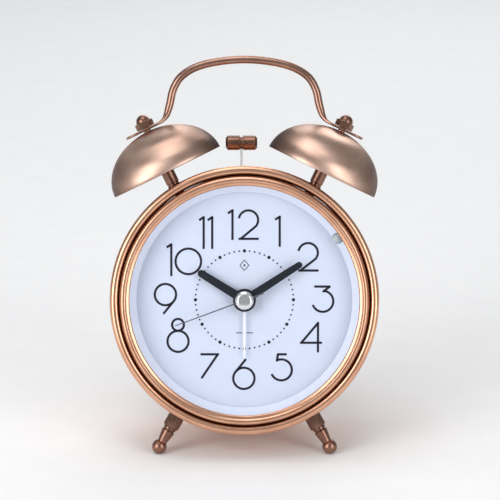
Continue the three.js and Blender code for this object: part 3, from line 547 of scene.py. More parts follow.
dial_paint = coated("dial_paint", colour(212, 219, 234), colour(205, 213, 231), 0.55, 0.5, 0.004, gloss=0.3)
ring_paint = coated("ring_paint", colour(232, 236, 248), colour(225, 230, 244), 0.5, 0.5, 0.004, gloss=0.3)
dial_ink = coated("dial_ink", colour(30, 28, 42), colour(38, 36, 52), 0.5, 0.3, 0.004, gloss=0.3)
hand_lacquer = coated("hand_lacquer", colour(18, 24, 32), colour(26, 32, 40), 0.42, 0.6, 0.006, gloss=0.35)
thin_lacquer = coated("thin_lacquer", colour(84, 90, 98), colour(100, 106, 114), 0.38, 0.6, 0.004)
white_lacquer = coated("white_lacquer", colour(246, 246, 243), colour(238, 238, 236), 0.4, 0.6, 0.004)
black_mould = coated("black_mould", colour(30, 30, 33), colour(40, 40, 43), 0.5, 0.22, 0.02)
mark_paint = coated("mark_paint", colour(232, 224, 214), colour(222, 212, 200), 0.5, 0.4, 0.006)
inner_black = coated("inner_black", colour(34, 34, 37), colour(44, 44, 47), 0.5, 0.3, 0.02, kept=True)
inner_white = coated("inner_white", colour(228, 228, 222), colour(214, 214, 206), 0.45, 0.4, 0.01, kept=True)
back_lacquer = coated("back_lacquer", colour(176, 122, 98), colour(150, 98, 78), 0.38, 0.35, 0.012,
                      metal=0.75)
print("coated finishes ready")

# %% [markdown]
# ## Finishes: bright metal, wire, glass
# A few pieces are neither copper nor paint: a polished cap, zinc-plated steel, brass, varnished wire,
# a circuit board and the cell's printed sleeve. Clear glass is the odd one. Real refraction would
# cost much light and time and show almost nothing, because the pane is thin: so it is see-through
# plus a weak mirror that grows towards the pane's edge.

# %% Bright metals and wire
def bright_metal(name, base, other, rough, fineness=8.0, kept=False):
    material, tree, shader = new_finish(name)
    lines, clouds = wheel_marks(tree, fineness, True, kept)
    tint = blended(tree, spanned(tree, clouds, 0.0, 0.6), base, other)
    gloss_drift = spanned(tree, lines, rough - 0.03, rough + 0.05)
    plug(tree, shader, {"Base Color": tint, "Roughness": gloss_drift, "Metallic": 1.0})
    relief(tree, shader, lines, 0.002)
    return material


cap_nickel = bright_metal("cap_nickel", colour(252, 252, 248), colour(246, 246, 240), 0.16)
zinc_steel = bright_metal("zinc_steel", colour(206, 208, 210), colour(188, 192, 196), 0.3)
inner_steel = bright_metal("inner_steel", colour(200, 202, 204), colour(180, 184, 188), 0.32, 3.0, True)
inner_brass = bright_metal("inner_brass", colour(222, 192, 120), colour(200, 166, 96), 0.3, 3.0, True)
inner_copper = bright_metal("inner_copper", colour(176, 124, 98), colour(128, 84, 64), 0.35, 3.0, True)


def wound_wire(name):
    material, tree, shader = new_finish(name)
    place = add_node(tree, "ShaderNodeTexCoord")
    turns = add_node(tree, "ShaderNodeTexWave", {"Vector": place.outputs["Object"], "Scale": 900.0})
    tint = blended(tree, turns.outputs["Fac"], colour(116, 54, 28), colour(196, 104, 58))
    plug(tree, shader, {"Base Color": tint, "Roughness": 0.35, "Metallic": 0.8})
    relief(tree, shader, turns.outputs["Fac"], 0.05)
    return material


def circuit_green(name):
    material, tree, shader = new_finish(name)
    place = add_node(tree, "ShaderNodeTexCoord")
    tracks = add_node(tree, "ShaderNodeTexBrick", {"Vector": place.outputs["Object"], "Scale": 260.0})
    greens = {"Color1": colour(30, 84, 52), "Color2": colour(38, 96, 60), "Mortar": colour(84, 130, 84)}
    plug(tree, tracks, greens)
    plug(tree, shader, {"Base Color": tracks.outputs["Color"], "Roughness": 0.4})
    return material


coil_copper = wound_wire("coil_copper")
board_green = circuit_green("board_green")


# %% Clear glass and the lamp's lens
def clear_glass(name):
    material, tree, shader = new_finish(name)
    tree.nodes.remove(shader)
    through = add_node(tree, "ShaderNodeBsdfTransparent", {"Color": (0.985, 0.99, 1.0, 1)})
    mirror = add_node(tree, "ShaderNodeBsdfGlossy", {"Roughness": 0.03})
    smear = add_node(tree, "ShaderNodeTexNoise", {"Vector": spot_on(tree), "Scale": 0.1})
    edge = add_node(tree, "ShaderNodeLayerWeight", {"Blend": 0.12})
    uneven = spanned(tree, smear.outputs["Fac"], 0.25, 0.4)
    amount = add_node(tree, "ShaderNodeMath", {0: edge.outputs["Fresnel"], 1: uneven}, operation="MULTIPLY")
    mixed = {0: amount.outputs[0], 1: through.outputs[0], 2: mirror.outputs[0]}
    both = add_node(tree, "ShaderNodeMixShader", mixed)
    plug(tree, tree.nodes["Material Output"], {"Surface": both.outputs[0]})
    return material


pane_glass = clear_glass("pane_glass")
lamp_lens = coated("lamp_lens", colour(196, 204, 200), colour(176, 186, 182), 0.25, 0.8, 0.006, gloss=0.6)
cell_sleeve = coated("cell_sleeve", colour(52, 92, 150), colour(44, 78, 132), 0.35, 0.6, 0.004, metal=0.6)
print("bright and clear finishes ready")

# %% [markdown]
# ## The drum
# The drum is one drawn steel shell. Its mouth is rolled into a fat bead that frames the dial, and its
# tail into a thinner bead, which stiffens both ends. Both beads and the wall are one outline here,
# spun about the dial's axis, so the plate runs unbroken round the roll as it does on the real shell.
# The slot for the hammer's wire is then milled through the top.

# %% Drum shell
WALL = 0.8
BORE = 52.7
FRONT_ROLL = 2.0                        # radius of the fat bead round the mouth
REAR_ROLL = 1.5                         # radius of the thin bead round the tail
SLOT_LEFT, SLOT_RIGHT = -7.4, 6.9
SLOT_HALF = 1.4                         # half of the slot's width, along the drum
front_middle = drum_low.z + FRONT_ROLL
rear_middle = drum_high.z - REAR_ROLL


def drum_outline():
    front = arc(BORE + FRONT_ROLL, front_middle, FRONT_ROLL, -180, 100, 22)
    rear = arc(BORE + REAR_ROLL, rear_middle, REAR_ROLL, -110, 180, 18)
    neck = [Vector((BORE + WALL + 0.12, front_middle + FRONT_ROLL + 0.35))]
    neck.append(Vector((BORE + WALL, front_middle + FRONT_ROLL + 0.9)))
    swage = arc(BORE + WALL + 0.02, rear_middle - 6.0, 0.35, -90, 90, 6)
    tail = [Vector((BORE + WALL, rear_middle - REAR_ROLL - 0.7))]
    return front + neck + swage + tail + rear


wire_low, wire_high = extent("hammer_rod")
slot = block(SLOT_LEFT, SLOT_RIGHT, BELLS_DEPTH - SLOT_HALF, BELLS_DEPTH + SLOT_HALF, BORE - 5, BORE + 5)
shell = placed(turned(drum_outline(), 224), facing)
shell = placed(milled(shell, slot), facing.inverted())
fit("drum_shell", shell, plate_copper, "case", ["case_drum"], facing)

# %% [markdown]
# ## The bezel
# The bezel is a spun ring pressed into the drum's mouth. Its crown is round, then a fine step leads
# down to the lip that holds the glass. That step is what draws the thin dark line inside the bright
# ring, so it is real geometry and not paint.

# %% Bezel ring
bezel_low, bezel_high = extent("front_bezel", facing)
BEZEL_OUT = bezel_high.x
SIGHT = BEZEL_OUT - 4.0                 # radius of the opening one looks through
CROWN = bezel_low.z
STEP = SIGHT + 1.5
ring_corners = eased(
    (BEZEL_OUT - 1.0, bezel_high.z, 0),
    (BEZEL_OUT, bezel_high.z, 0),
    (BEZEL_OUT, CROWN + 3.9, 0),
    (BEZEL_OUT + 0.28, CROWN + 3.6, 0),
    (BEZEL_OUT + 0.28, CROWN + 1.6, 0.4),
    (BEZEL_OUT - 0.35, CROWN + 0.45, 0.6),
    (BEZEL_OUT - 1.1, CROWN, 0.9),
    (STEP + 0.5, CROWN + 0.12, 0.8),
    (STEP, CROWN + 0.62, 0.18),
    (STEP - 0.28, CROWN + 0.62, 0.12),
    (SIGHT + 0.35, CROWN + 0.95, 0.5),
    (SIGHT, CROWN + 1.35, 0.25),
    (SIGHT, CROWN + 1.7, 0),
    (BEZEL_OUT - 1.0, CROWN + 1.7, 0),
    steps=6,
)
fit("bezel_ring", turned(ring_corners, 256), plate_copper, "case", ["front_bezel"], facing)

# %% [markdown]
# ## Glass, dial ring and dial
# The pane is gently domed, like a watch glass. Behind it a white sloping ring leads the eye down to the
# dial, and casts the soft line of shade round its edge. The dial itself is a thin disc: flat, so its
# quality lies in the print, which is made as separate inked shapes a hair above the paint.

# %% Pane
pane_low, pane_high = extent("lens", facing)
PANE_RADIUS = pane_high.x
DOME = 2.2


def dome_line(edge_depth, inward_first):
    bow = (PANE_RADIUS ** 2 + DOME ** 2) / (2 * DOME)
    shares = [k / 20 for k in range(21)]
    line = [(PANE_RADIUS * s, edge_depth + bow - DOME - math.sqrt(bow ** 2 - (PANE_RADIUS * s) ** 2))
            for s in shares]
    return line if inward_first else line[::-1]


pane_outline = dome_line(pane_low.z + DOME, True) + dome_line(pane_high.z, False)
fit("glass_pane", turned(pane_outline, 128), pane_glass, "case", ["lens"], facing)

# %% Sloping ring and night lamp
slope_low, slope_high = extent("chapter_ring", facing)
RING_TOP = SIGHT + 0.2
RING_FOOT = SIGHT - 2.8
slope = eased(
    (RING_TOP, slope_low.z, 0.2),
    (slope_high.x, slope_low.z, 0),
    (slope_high.x, slope_high.z, 0),
    (RING_FOOT, slope_high.z, 0.15),
    (RING_FOOT + 0.2, slope_high.z - 0.5, 0.4),
)
lamp_low, lamp_high = extent("night_light_bulb")
lamp_middle, lamp_half = middle_and_half("night_light_bulb")
LAMP_RADIUS = lamp_half.x
at_lamp = Matrix.Translation((lamp_middle.x, 0, lamp_middle.z)) @ facing
notch = turned([(0, slope_low.z - 1), (LAMP_RADIUS + 0.3, slope_low.z - 1),
                (LAMP_RADIUS + 0.3, slope_high.z + 1), (0, slope_high.z + 1)], 40)
notched = milled(placed(turned(slope, 192), facing), placed(notch, at_lamp))
fit("dial_ring", placed(notched, facing.inverted()), ring_paint, "case", ["chapter_ring"],
    facing)

bulb = [(0, lamp_high.y), (LAMP_RADIUS, lamp_high.y), (LAMP_RADIUS, lamp_low.y + LAMP_RADIUS)]
bulb += [(p.x, p.y) for p in arc(0, lamp_low.y + LAMP_RADIUS, LAMP_RADIUS, 0, -90, 8)[1:]]
fit("night_lamp", turned(bulb, 40), lamp_lens, "case", ["night_light_bulb"], at_lamp)

# %% Dial disc
dial_low, dial_high = extent("dial", facing)
PIPE_HOLE = 3.4
dial_outline = eased(
    (PIPE_HOLE, dial_high.z, 0), (PIPE_HOLE, dial_low.z, 0.1),
    (dial_high.x, dial_low.z, 0.1), (dial_high.x, dial_high.z, 0),
)
fit("dial_disc", turned(dial_outline, 128), dial_paint, "case", ["dial"], facing)

# %% [markdown]
# ## The dial's print
# The numerals are drawn with one pen: every stroke has the same width, bends are parts of circles, and
# ends are cut square. So each numeral is a list of pen strokes on the dial, in millimetres from its
# middle, and a pen function gives a stroke its width. The dots are small discs on one circle. Where a
# maker would print a name, this clock has only a plain diamond, and a short rule below the middle.

# %% A pen for numerals
PEN = 0.98
INK = 0.05                              # thickness of the print, so it stands clear of the paint
paint_face = dial_low.z


def pen_stroke(points, width=PEN):
    """A stroke of even width along points, with square ends."""
    path = [Vector(point) for point in points]
    left, right = [], []
    for k, here in enumerate(path):
        before = (here - path[k - 1]).normalized() if k else (path[1] - here).normalized()
        after = (path[k + 1] - here).normalized() if k + 1 < len(path) else before
        across = Vector((-(before + after).y, (before + after).x)).normalized()
        reach = width / 2 / max(across.dot(Vector((-before.y, before.x))), 0.35)
        left.append(here + across * reach)
        right.append(here - across * reach)
    return left + right[::-1]


def inked(outline):
    """An outline on the dial (x right, y up) as a thin solid lying on the paint, on the facing bench."""
    return stamped([(x, -y) for x, y in outline], paint_face - INK, paint_face - 0.004)


def bend(x, y, radius, start, end):
    """A pen's path along part of a circle; angles in degrees, anticlockwise from the right."""
    return [tuple(p) for p in arc(x, y, radius, start, end, max(6, int(abs(end - start) / 8)))]


# %% The twelve numerals
def one(x, foot, top):
    return [[(x, foot), (x, top - 0.2)], [(x + 0.35, top - 0.25), (x - 1.95, top - 1.75)]]


def two(x, y, radius, foot, left, right):
    hook = bend(x, y, radius, 170, -38)
    return [[*hook, (left + 0.9, foot + 0.45)], [(left, foot + PEN / 2), (right, foot + PEN / 2)]]


def ring(x, y, radius):
    return [bend(x, y, radius, 0, 362)]


numerals = {
    "12": [*one(-5.04, 25.3, 38.3), *two(1.68, 33.7, 4.1, 25.3, -2.5, 6.05)],
    "1": one(14.9, 22.4, 35.6),
    "2": two(26.9, 19.9, 4.1, 11.9, 22.7, 31.3),
    "3": [[(32.9 - 3.4, 5.6), (36.4, 5.6)], [(36.2, 5.7), (33.1, 3.3)], bend(33.1, -0.63, 4.45, 88, -160)],
    "4": [[(31.1, -22.3), (31.1, -9.4)], [(31.3, -9.6), (23.9, -18.4)], [(23.5, -18.2), (32.8, -18.2)]],
    "5": [[(13.9, -23.1), (17.9, -23.1)], [(14.2, -22.8), (13.7, -26.2)],
          bend(15.6, -29.7, 4.45, 115, -157)],
    "6": [*ring(-0.25, -33.3, 4.5), [(-4.0, -30.9), (0.67, -25.1)]],
    "7": [[(-18.6, -23.1), (-10.75, -23.1)], [(-11.2, -23.0), (-18.2, -33.3)]],
    "8": [*ring(-28.1, -10.6, 2.5), *ring(-28.1, -17.6, 4.45)],
    "9": [*ring(-33.4, 2.2, 4.5), [(-29.6, -0.2), (-34.3, -6.0)]],
    "10": [*one(-30.9, 10.0, 23.9), *ring(-23.7, 16.25, 5.4)],
    "11": [*one(-17.2, 21.5, 35.4), *one(-13.6, 21.5, 35.4)],
}
numeral_print = merged(*[inked(pen_stroke(s)) for strokes in numerals.values() for s in strokes])
fit("numerals", numeral_print, dial_ink, "case", (), facing, crease=30)

# %% Dots, diamond and rule
TRACK = 20.7                            # radius of the circle of dots
HOUR_DOT = 0.72
MINUTE_DOT = 0.38
RULE = -14.0                            # height of the short rule


def disc_outline(x, y, radius, sides=20):
    return [tuple(p) for p in arc(x, y, radius, 0, 360 - 360 / sides, sides - 1)]


dots = []
for minute in range(60):
    around = math.radians(6 * minute)
    size = HOUR_DOT if minute % 5 == 0 else MINUTE_DOT
    dots.append(inked(disc_outline(TRACK * math.sin(around), TRACK * math.cos(around), size)))
diamond = [(0, 16.8), (1.9, 14.6), (0, 12.4), (-1.9, 14.6), (0, 16.8), (1.9, 14.6)]
ornament = [inked(pen_stroke(diamond, 0.3)), inked(disc_outline(0, 14.6, 0.45))]
rule = [inked(pen_stroke([(x, RULE), (x + 2.6, RULE)], 0.35)) for x in (-3.6, 1.0)]
rule.append(inked(disc_outline(0, RULE, 0.42)))
fit("minute_track", merged(*dots, *ornament, *rule), dial_ink, "case", (), facing, crease=30)

# %% [markdown]
# ## Bells and their posts
# A bell is a spun cup, brushed in circles, hung by its crown on a post. Seen from the front its face
# shows soft bright patches that run from rim to crown, because circular brushing spreads every
# reflection that way. The wall is thin and its rim is turned square with a tiny rounding, which
# catches a bright hair-line of light.

# %% Bells
bell_low, bell_high = extent("bell_right", bell_bench(1))
BELL_RADIUS = (bell_high.x - bell_low.x) / 2
RIM = bell_low.z
BELL_RISE = bell_high.z - RIM
BELL_WALL = 1.0
STUD_HOLE = 1.8


def quarter(radius, rise, steps=26):
    return [(radius * math.cos(math.pi / 2 * k / steps), RIM + rise * math.sin(math.pi / 2 * k / steps))
            for k in range(steps)]


def bell_outline():
    outer = quarter(BELL_RADIUS, BELL_RISE)
    inner = quarter(BELL_RADIUS - BELL_WALL, BELL_RISE - BELL_WALL)[::-1]
    outer[0] = (BELL_RADIUS, RIM + 0.25)
    lip = [(BELL_RADIUS - 0.08, RIM + 0.08), (BELL_RADIUS - 0.25, RIM)]
    lip_inside = [(BELL_RADIUS - BELL_WALL + 0.2, RIM), (BELL_RADIUS - BELL_WALL, RIM + 0.2)]
    crown = [(STUD_HOLE, RIM + BELL_RISE), (STUD_HOLE, RIM + BELL_RISE - BELL_WALL)]
    return lip_inside + lip[::-1] + outer + crown + inner[:-1]


for label, side in SIDES:
    cup = turned(bell_outline(), 160)
    fit(f"bell_{label}_cup", cup, bell_copper, "case", [f"bell_{label}"], bell_bench(side))

# %% Posts
post_high = extent("bell_post_right", bell_bench(1))[1]
POST = 2.85
STUD = 1.5                                 # radius of a threaded end
STUD_END = 49.0                            # how far from the dial's middle a stud begins, inside the drum
WAIST = POST - 0.35                        # a fine neck turned near the post's foot
BOLSTER = POST + 1.2                       # the flange under the bell's crown
SKIN = DRUM_OUT - 2 * FRONT_ROLL + WALL    # radius of the drum's wall
shoulder = RIM + BELL_RISE - 1.8


def post_outline():
    return eased(
        (0, STUD_END, 0), (STUD, STUD_END, 0.2), (STUD, SKIN - 1.1, 0), (POST, SKIN - 1.1, 0),
        (POST, SKIN + 3.2, 0.15), (WAIST, SKIN + 3.5, 0.1), (WAIST, SKIN + 4.0, 0.1),
        (POST, SKIN + 4.3, 0.15), (POST, shoulder, 0.25), (BOLSTER, shoulder + 0.05, 0.15),
        (BOLSTER, shoulder + 0.7, 0.15), (STUD, shoulder + 0.7, 0),
        (STUD, post_high.z, 0.3), (0, post_high.z, 0),
    )


for label, side in SIDES:
    fit(f"post_{label}", turned(post_outline(), 48), toned_copper, "case", [f"bell_post_{label}"],
        bell_bench(side))

# %% [markdown]
# ## Nuts
# A nut is a hexagon whose corners were turned off on a lathe, so a curved edge shows on every flat. The
# same two cuts make it here: a stamped hexagon, kept only where it lies inside a turned barrel.

# %% Hexagon nuts
def nut(flats, low, high, chamfer):
    corner = flats / math.sqrt(3)
    hexagon = [(corner * math.cos(math.radians(60 * k)), corner * math.sin(math.radians(60 * k)))
               for k in range(6)]
    flat = flats / 2 * 0.98
    wide = corner + 0.1
    barrel = [(0, low - 0.01), (wide, low - 0.01), (wide, low),
              (wide, high - chamfer * 0.6), (flat, high + 0.01), (0, high + 0.01)]
    return milled(stamped(hexagon, low, high), turned(barrel, 72), how="INTERSECT")


acorn_low, acorn_high = extent("acorn_nut_right", bell_bench(1))
ACORN_FLATS = 7.0
DOME_RADIUS = 2.9
dome_base = acorn_high.z - DOME_RADIUS
for label, side in SIDES:
    hexagon = nut(ACORN_FLATS, acorn_low.z - 0.1, dome_base, 0.6)
    foot = [(0, dome_base - 0.3), (DOME_RADIUS + 0.2, dome_base - 0.3), (DOME_RADIUS + 0.2, dome_base + 0.1)]
    cap = [(p.x, p.y) for p in arc(0, dome_base, DOME_RADIUS + 0.1, 5, 90, 12)]
    dome = turned(foot + cap, 64)
    fit(f"acorn_{label}", merged(hexagon, dome), toned_copper, "case", [f"acorn_nut_{label}"],
        bell_bench(side), ease=0.12)

# %% [markdown]
# ## The carrying handle
# The handle is one length of round rod. Its two ends were flattened in a press to tabs with round ends,
# which the bells' studs hold under their nuts, and then the whole was bent. Lofting follows that: one
# section is carried along the bent path, and it changes from a circle to a flat pill at each tab.

# %% Handle rod
stud_x, stud_z = [(bell_bench(1) @ Vector((0, 0, acorn_low.z - 0.85)))[k] for k in (0, 2)]
ROD = 1.7                               # the rod's radius
TAB_THICK = 0.55                        # half of the sheet the press left
TAB_WIDE = 4.0
TAB_REACH = 9.6
HANDLE_RISE = 29.8                      # from a tab's hole to the middle of the rod at the top
outward = Vector((math.cos(BELL_TILT), -math.sin(BELL_TILT)))


def rod_stations():
    """Stations along the right half, from the tab's end up.

    Each is (x, z, half thickness, half width, squareness); x and z are counted from the tab's hole.
    """
    stations = []
    for gone in (0.0, 0.12, 0.45, 1.0, 1.8, 2.8, 4.0):
        half = math.sqrt(max(TAB_WIDE ** 2 - (TAB_WIDE - gone) ** 2, 0.0)) if gone else 0.35
        spot = outward * (TAB_REACH - gone)
        stations.append((spot.x, spot.y, TAB_THICK - (0.2 if gone < 0.1 else 0), half, 5))
    for along in (2.6, 0.0, -2.4):
        stations.append((outward.x * along, outward.y * along, TAB_THICK, TAB_WIDE, 5))
    stations.append((-4.8, 2.35, 0.58, 3.75, 4.5))
    stations.append((-7.0, 3.8, 0.85, 2.9, 3.2))
    stations.append((-8.5, 6.0, 1.35, 2.1, 2.4))
    stations.append((-9.35, 8.6, 1.62, 1.8, 2.1))
    for inward_step, up in ((10.1, 11.4), (11.3, 16.7), (14.6, 22.3), (22.5, 27.0)):
        stations.append((-inward_step, up, ROD, ROD, 2))
    return [(stud_x + s[0], stud_z + s[1], *s[2:]) for s in stations]


def through(stations, per_span=6):
    """A smooth run of stations through the given ones: a centripetal spline, paced by the path's length."""
    rows = [Vector(s) for s in stations]
    knots = [0.0]
    for a, b in zip(rows, rows[1:]):
        knots.append(knots[-1] + max((Vector(b[:2]) - Vector(a[:2])).length ** 0.5, 1e-3))
    run = []
    for i in range(len(rows) - 1):
        p = [rows[max(i - 1, 0)], rows[i], rows[i + 1], rows[min(i + 2, len(rows) - 1)]]
        t = [knots[max(i - 1, 0)] - (1 if i == 0 else 0), knots[i], knots[i + 1],
             knots[min(i + 2, len(rows) - 1)] + (1 if i + 2 >= len(rows) else 0)]
        for s in range(per_span):
            u = t[1] + (t[2] - t[1]) * s / per_span
            a1 = p[0] * ((t[1] - u) / (t[1] - t[0])) + p[1] * ((u - t[0]) / (t[1] - t[0]))
            a2 = p[1] * ((t[2] - u) / (t[2] - t[1])) + p[2] * ((u - t[1]) / (t[2] - t[1]))
            a3 = p[2] * ((t[3] - u) / (t[3] - t[2])) + p[3] * ((u - t[2]) / (t[3] - t[2]))
            b1 = a1 * ((t[2] - u) / (t[2] - t[0])) + a2 * ((u - t[0]) / (t[2] - t[0]))
            b2 = a2 * ((t[3] - u) / (t[3] - t[1])) + a3 * ((u - t[1]) / (t[3] - t[1]))
            run.append(b1 * ((t[2] - u) / (t[2] - t[1])) + b2 * ((u - t[1]) / (t[2] - t[1])))
    return run + [rows[-1]]


def handle_shape():
    right = rod_stations()
    left = [(-s[0], *s[1:]) for s in right[::-1]]
    run = through(right + [(0, stud_z + HANDLE_RISE, ROD, ROD, 2)] + left)
    rings, sides = [], 28
    for k, here in enumerate(run):
        ahead = run[min(k + 1, len(run) - 1)] - run[max(k - 1, 0)]
        along = Vector((ahead[0], ahead[1])).normalized()
        normal = Vector((-along.y, along.x))
        thick, wide, square = max(here[2], 0.2), max(here[3], 0.2), max(here[4], 2)
        points = []
        for n in range(sides):
            angle = 2 * math.pi * n / sides
            c, s = math.cos(angle), math.sin(angle)
            u = math.copysign(abs(c) ** (2 / square), c) * wide
            v = math.copysign(abs(s) ** (2 / square), s) * thick
            points.append((here[0] + normal.x * v, BELLS_DEPTH + u, here[1] + normal.y * v))
        rings.append(points)
    return skin(rings, caps=True)


fit("handle_rod", handle_shape(), rod_copper, "case", ["handle"], crease=50, run=(1, 0, 0))

# %% [markdown]
# ## The hammer
# A short turned barrel on a spring wire swings between the bells. The barrel has a groove round its
# middle, where the wire is staked, and chamfered ends that strike. The wire is bright steel.

# %% Hammer barrel and wire
head_middle, head_half = middle_and_half("hammer_head")
HAMMER = head_half.z
half_head = head_half.x
barrel = eased(
    (0, -half_head, 0), (HAMMER - 1.0, -half_head, 0.3), (HAMMER, -half_head + 1.0, 0.3),
    (HAMMER, -0.75, 0.15), (HAMMER - 0.6, -0.6, 0.15), (HAMMER - 0.6, 0.6, 0.15), (HAMMER, 0.75, 0.15),
    (HAMMER, half_head - 1.0, 0.3), (HAMMER - 1.0, half_head, 0.3), (0, half_head, 0),
)
crosswise = Matrix.Translation(head_middle) @ Matrix.Rotation(math.radians(90), 4, "Y")
fit("hammer_barrel", turned(barrel, 64), toned_copper, "hammer", ["hammer_head"], crosswise)

WIRE = 0.4
wire_middle = middle_and_half("hammer_rod")[0]
at_wire = Matrix.Translation((wire_middle.x, BELLS_DEPTH, 0))
wire = eased((0, wire_low.z, 0), (WIRE, wire_low.z, 0.1), (WIRE, wire_high.z, 0.15), (0, wire_high.z, 0))
fit("hammer_wire", turned(wire, 20), zinc_steel, "hammer", ["hammer_rod"], at_wire)

# %% [markdown]
# ## Feet
# Each foot screws into the drum: a long hexagon to grip, a short collar, a tapered shank and a ball.
# It is turned from bar, so it is one outline again. The ball has a very small flat where it stands,
# because no point is allowed below the table.

# %% Legs and leg nuts
nut_low, nut_high = extent("leg_nut_right", leg_bench(1))
BALL = 3.15
LEG_FLATS = 6.0                         # the hexagon's size across its flats
LEG_TO_BALL = SKIN + 19.1               # from the dial's middle to the ball's


def leg_outline():
    collar = nut_high.z + 0.1
    neck = LEG_TO_BALL - BALL * 0.74
    shank = eased(
        (0, STUD_END, 0), (STUD, STUD_END, 0.2), (STUD, collar, 0),
        (2.75, collar, 0.2), (2.75, collar + 0.9, 0.2), (2.2, collar + 1.15, 0.1),
        (2.2, collar + 1.4, 0.1), (2.9, collar + 1.7, 0.2), (2.05, neck, 0), (0, neck, 0),
    )
    ball = [(p.x, p.y) for p in arc(0, LEG_TO_BALL, BALL, -48, 90, 20)]
    return [tuple(p) for p in shank[:-2]] + [(1.95, neck + 0.02)] + ball


for label, side in SIDES:
    foot = fit(f"foot_{label}", turned(leg_outline(), 64), toned_copper, "case", [f"leg_{label}"],
               leg_bench(side))
    for point in foot.data.vertices:
        point.co.z = max(point.co.z, 0.0)
    hexagon = nut(LEG_FLATS, nut_low.z - 1.15, nut_high.z, 0.5)
    fit(f"foot_nut_{label}", hexagon, toned_copper, "case", [f"leg_nut_{label}"],
        leg_bench(side), ease=0.12)

# %% [markdown]
# ## Hands
# The hands are stamped from sheet: a round hub with a hole for its pipe, and a blade that narrows to a
# round end. Each hand lies in its own layer, with air between, so they pass over one another. They are
# built pointing at 12 and then turned to the model's time, about ten past ten.

# %% Hand blanks
def hand(length, root, tip, hub, bore, low, high, tail):
    """A hand on the facing bench, pointing at 12, between two depths."""
    blade = [(root / 2, tail), (-root / 2, tail), (-tip / 2, -(length - tip / 2))]
    blade += [(p.x, p.y) for p in arc(0, -(length - tip / 2), tip / 2, 180, 360, 12)]
    solid = milled(stamped(blade, low, high), stamped(disc_outline(0, 0, hub, 64), low, high), how="UNION")
    return milled(solid, stamped(disc_outline(0, 0, bore, 32), low - 1, high + 1)) if bore else solid


def turned_to(degrees):
    """The facing bench turned clockwise, as a hand turns."""
    return Matrix.Rotation(math.radians(degrees), 4, "Y") @ facing


# name: the node it stands for, its body, finish and slot; the degrees it is turned;
# its length, width at the root and tip, radius of its hub and bore, and length of its tail
blades = {
    "alarm_pointer": ("alarm_hand", "alarm_work", white_lacquer, "hand_white", 180.0,
                      (24.4, 1.0, 0.75, 4.0, 2.3, 0.0)),
    "hour_blade": ("hour_hand", "hour_work", hand_lacquer, "hand_black", -58.3,
                   (22.9, 3.8, 3.15, 4.85, 1.75, 0.0)),
    "minute_blade": ("minute_hand", "minute_work", hand_lacquer, "hand_black", 57.2,
                     (28.8, 3.6, 2.75, 4.85, 1.15, 0.0)),
    "second_needle": ("second_hand", "second_work", thin_lacquer, "hand_steel", 249.8,
                      (31.3, 0.62, 0.42, 2.2, 0.0, 8.5)),
}
for name, (node, body, finish, slot_name, degrees, sizes) in blades.items():
    low, high = extent(node, facing)
    length, root, tip, hub, bore, tail = sizes
    blank = hand(length, root, tip, hub, bore, low.z, high.z, tail)
    fit(name, blank, finish, body, [node], turned_to(degrees),
        ease=min(0.15, tip / 6), run=(1, 0, 0))

# %% Cap over the hands
cap_low, cap_high = extent("hand_cap", facing)
CAP = cap_high.x
cap = eased(
    (0, cap_high.z, 0), (CAP - 0.3, cap_high.z, 0.1), (CAP, cap_high.z - 0.3, 0.15),
    (CAP, cap_low.z + 1.0, 0.5), (CAP - 1.1, cap_low.z + 0.25, 0.9), (0.8, cap_low.z, 0),
    (0, cap_low.z, 0), steps=6,
)
fit("hand_button", turned(cap, 72), cap_nickel, "second_work", ["hand_cap"], facing)

# %% [markdown]
# ## The back
# The back cover is a pressed disc, set into the drum's tail so the knobs don't stick out. It has a raised
# rim, a dished ring round each knob, and a bay for one cell behind a sliding lid. All its openings are
# milled from one turned blank, as a press tool would pierce them.

# %% Back cover
cover_low, cover_high = extent("back_cover", facing)
COVER = cover_high.x
SHEET = 1.5
REAR_FACE = cover_high.z
FRONT_FACE = REAR_FACE - SHEET
knob_low, knob_high = extent("time_knob", facing)
knob_middle, knob_half = middle_and_half("time_knob", facing)
KNOB_X = knob_middle.x
KNOB = knob_half.x
door_low, door_high = extent("battery_door")
button_low, button_high = extent("light_button")
switch_high = extent("alarm_switch")[1]
screw_low, screw_high = extent("back_screw_right")
button_at, switch_at, screw_at = [
    middle_and_half(node)[0].xz for node in ("light_button", "alarm_switch", "back_screw_right")
]
GAP = 0.3                               # play round each loose piece
SWITCH_TRAVEL = 5
KNOB_BORE = 1.3
SCREW_HOLE = 1.5
BUTTON_HOLE = 3.7
SWITCH_HALF = 1.5                       # half of the switch's slot


def cover_blank():
    return turned(eased(
        (0, FRONT_FACE, 0), (COVER - 1.5, FRONT_FACE, 0), (COVER - 1.5, FRONT_FACE - 4, 0),
        (COVER, FRONT_FACE - 4, 0), (COVER, REAR_FACE, 0.5), (COVER - 2.2, REAR_FACE, 0.3),
        (COVER - 2.7, REAR_FACE - 0.5, 0.3), (COVER - 4.2, REAR_FACE - 0.5, 0.3),
        (COVER - 4.7, REAR_FACE, 0.3), (0, REAR_FACE, 0), steps=5), 192)


def collar_ring(x, radius):
    """A shallow groove pressed round a control."""
    groove = eased((radius, REAR_FACE - 0.45, 0.15), (radius + 1.0, REAR_FACE - 0.45, 0.15),
                   (radius + 1.3, REAR_FACE + 1, 0), (radius - 0.3, REAR_FACE + 1, 0))
    return placed(turned(groove, 72), facing.inverted() @ Matrix.Translation((x, 0, 0)) @ facing)


def drilled(x, up, radius):
    return placed(stamped(disc_outline(0, 0, radius, 40), FRONT_FACE - 2, REAR_FACE + 2),
                  facing.inverted() @ Matrix.Translation((x, 0, up)) @ facing)


def opening(x0, x1, y0, y1, z0, z1):
    """A box given in the clock's frame, put on the facing bench."""
    return placed(block(x0, x1, y0, y1, z0, z1), facing.inverted())


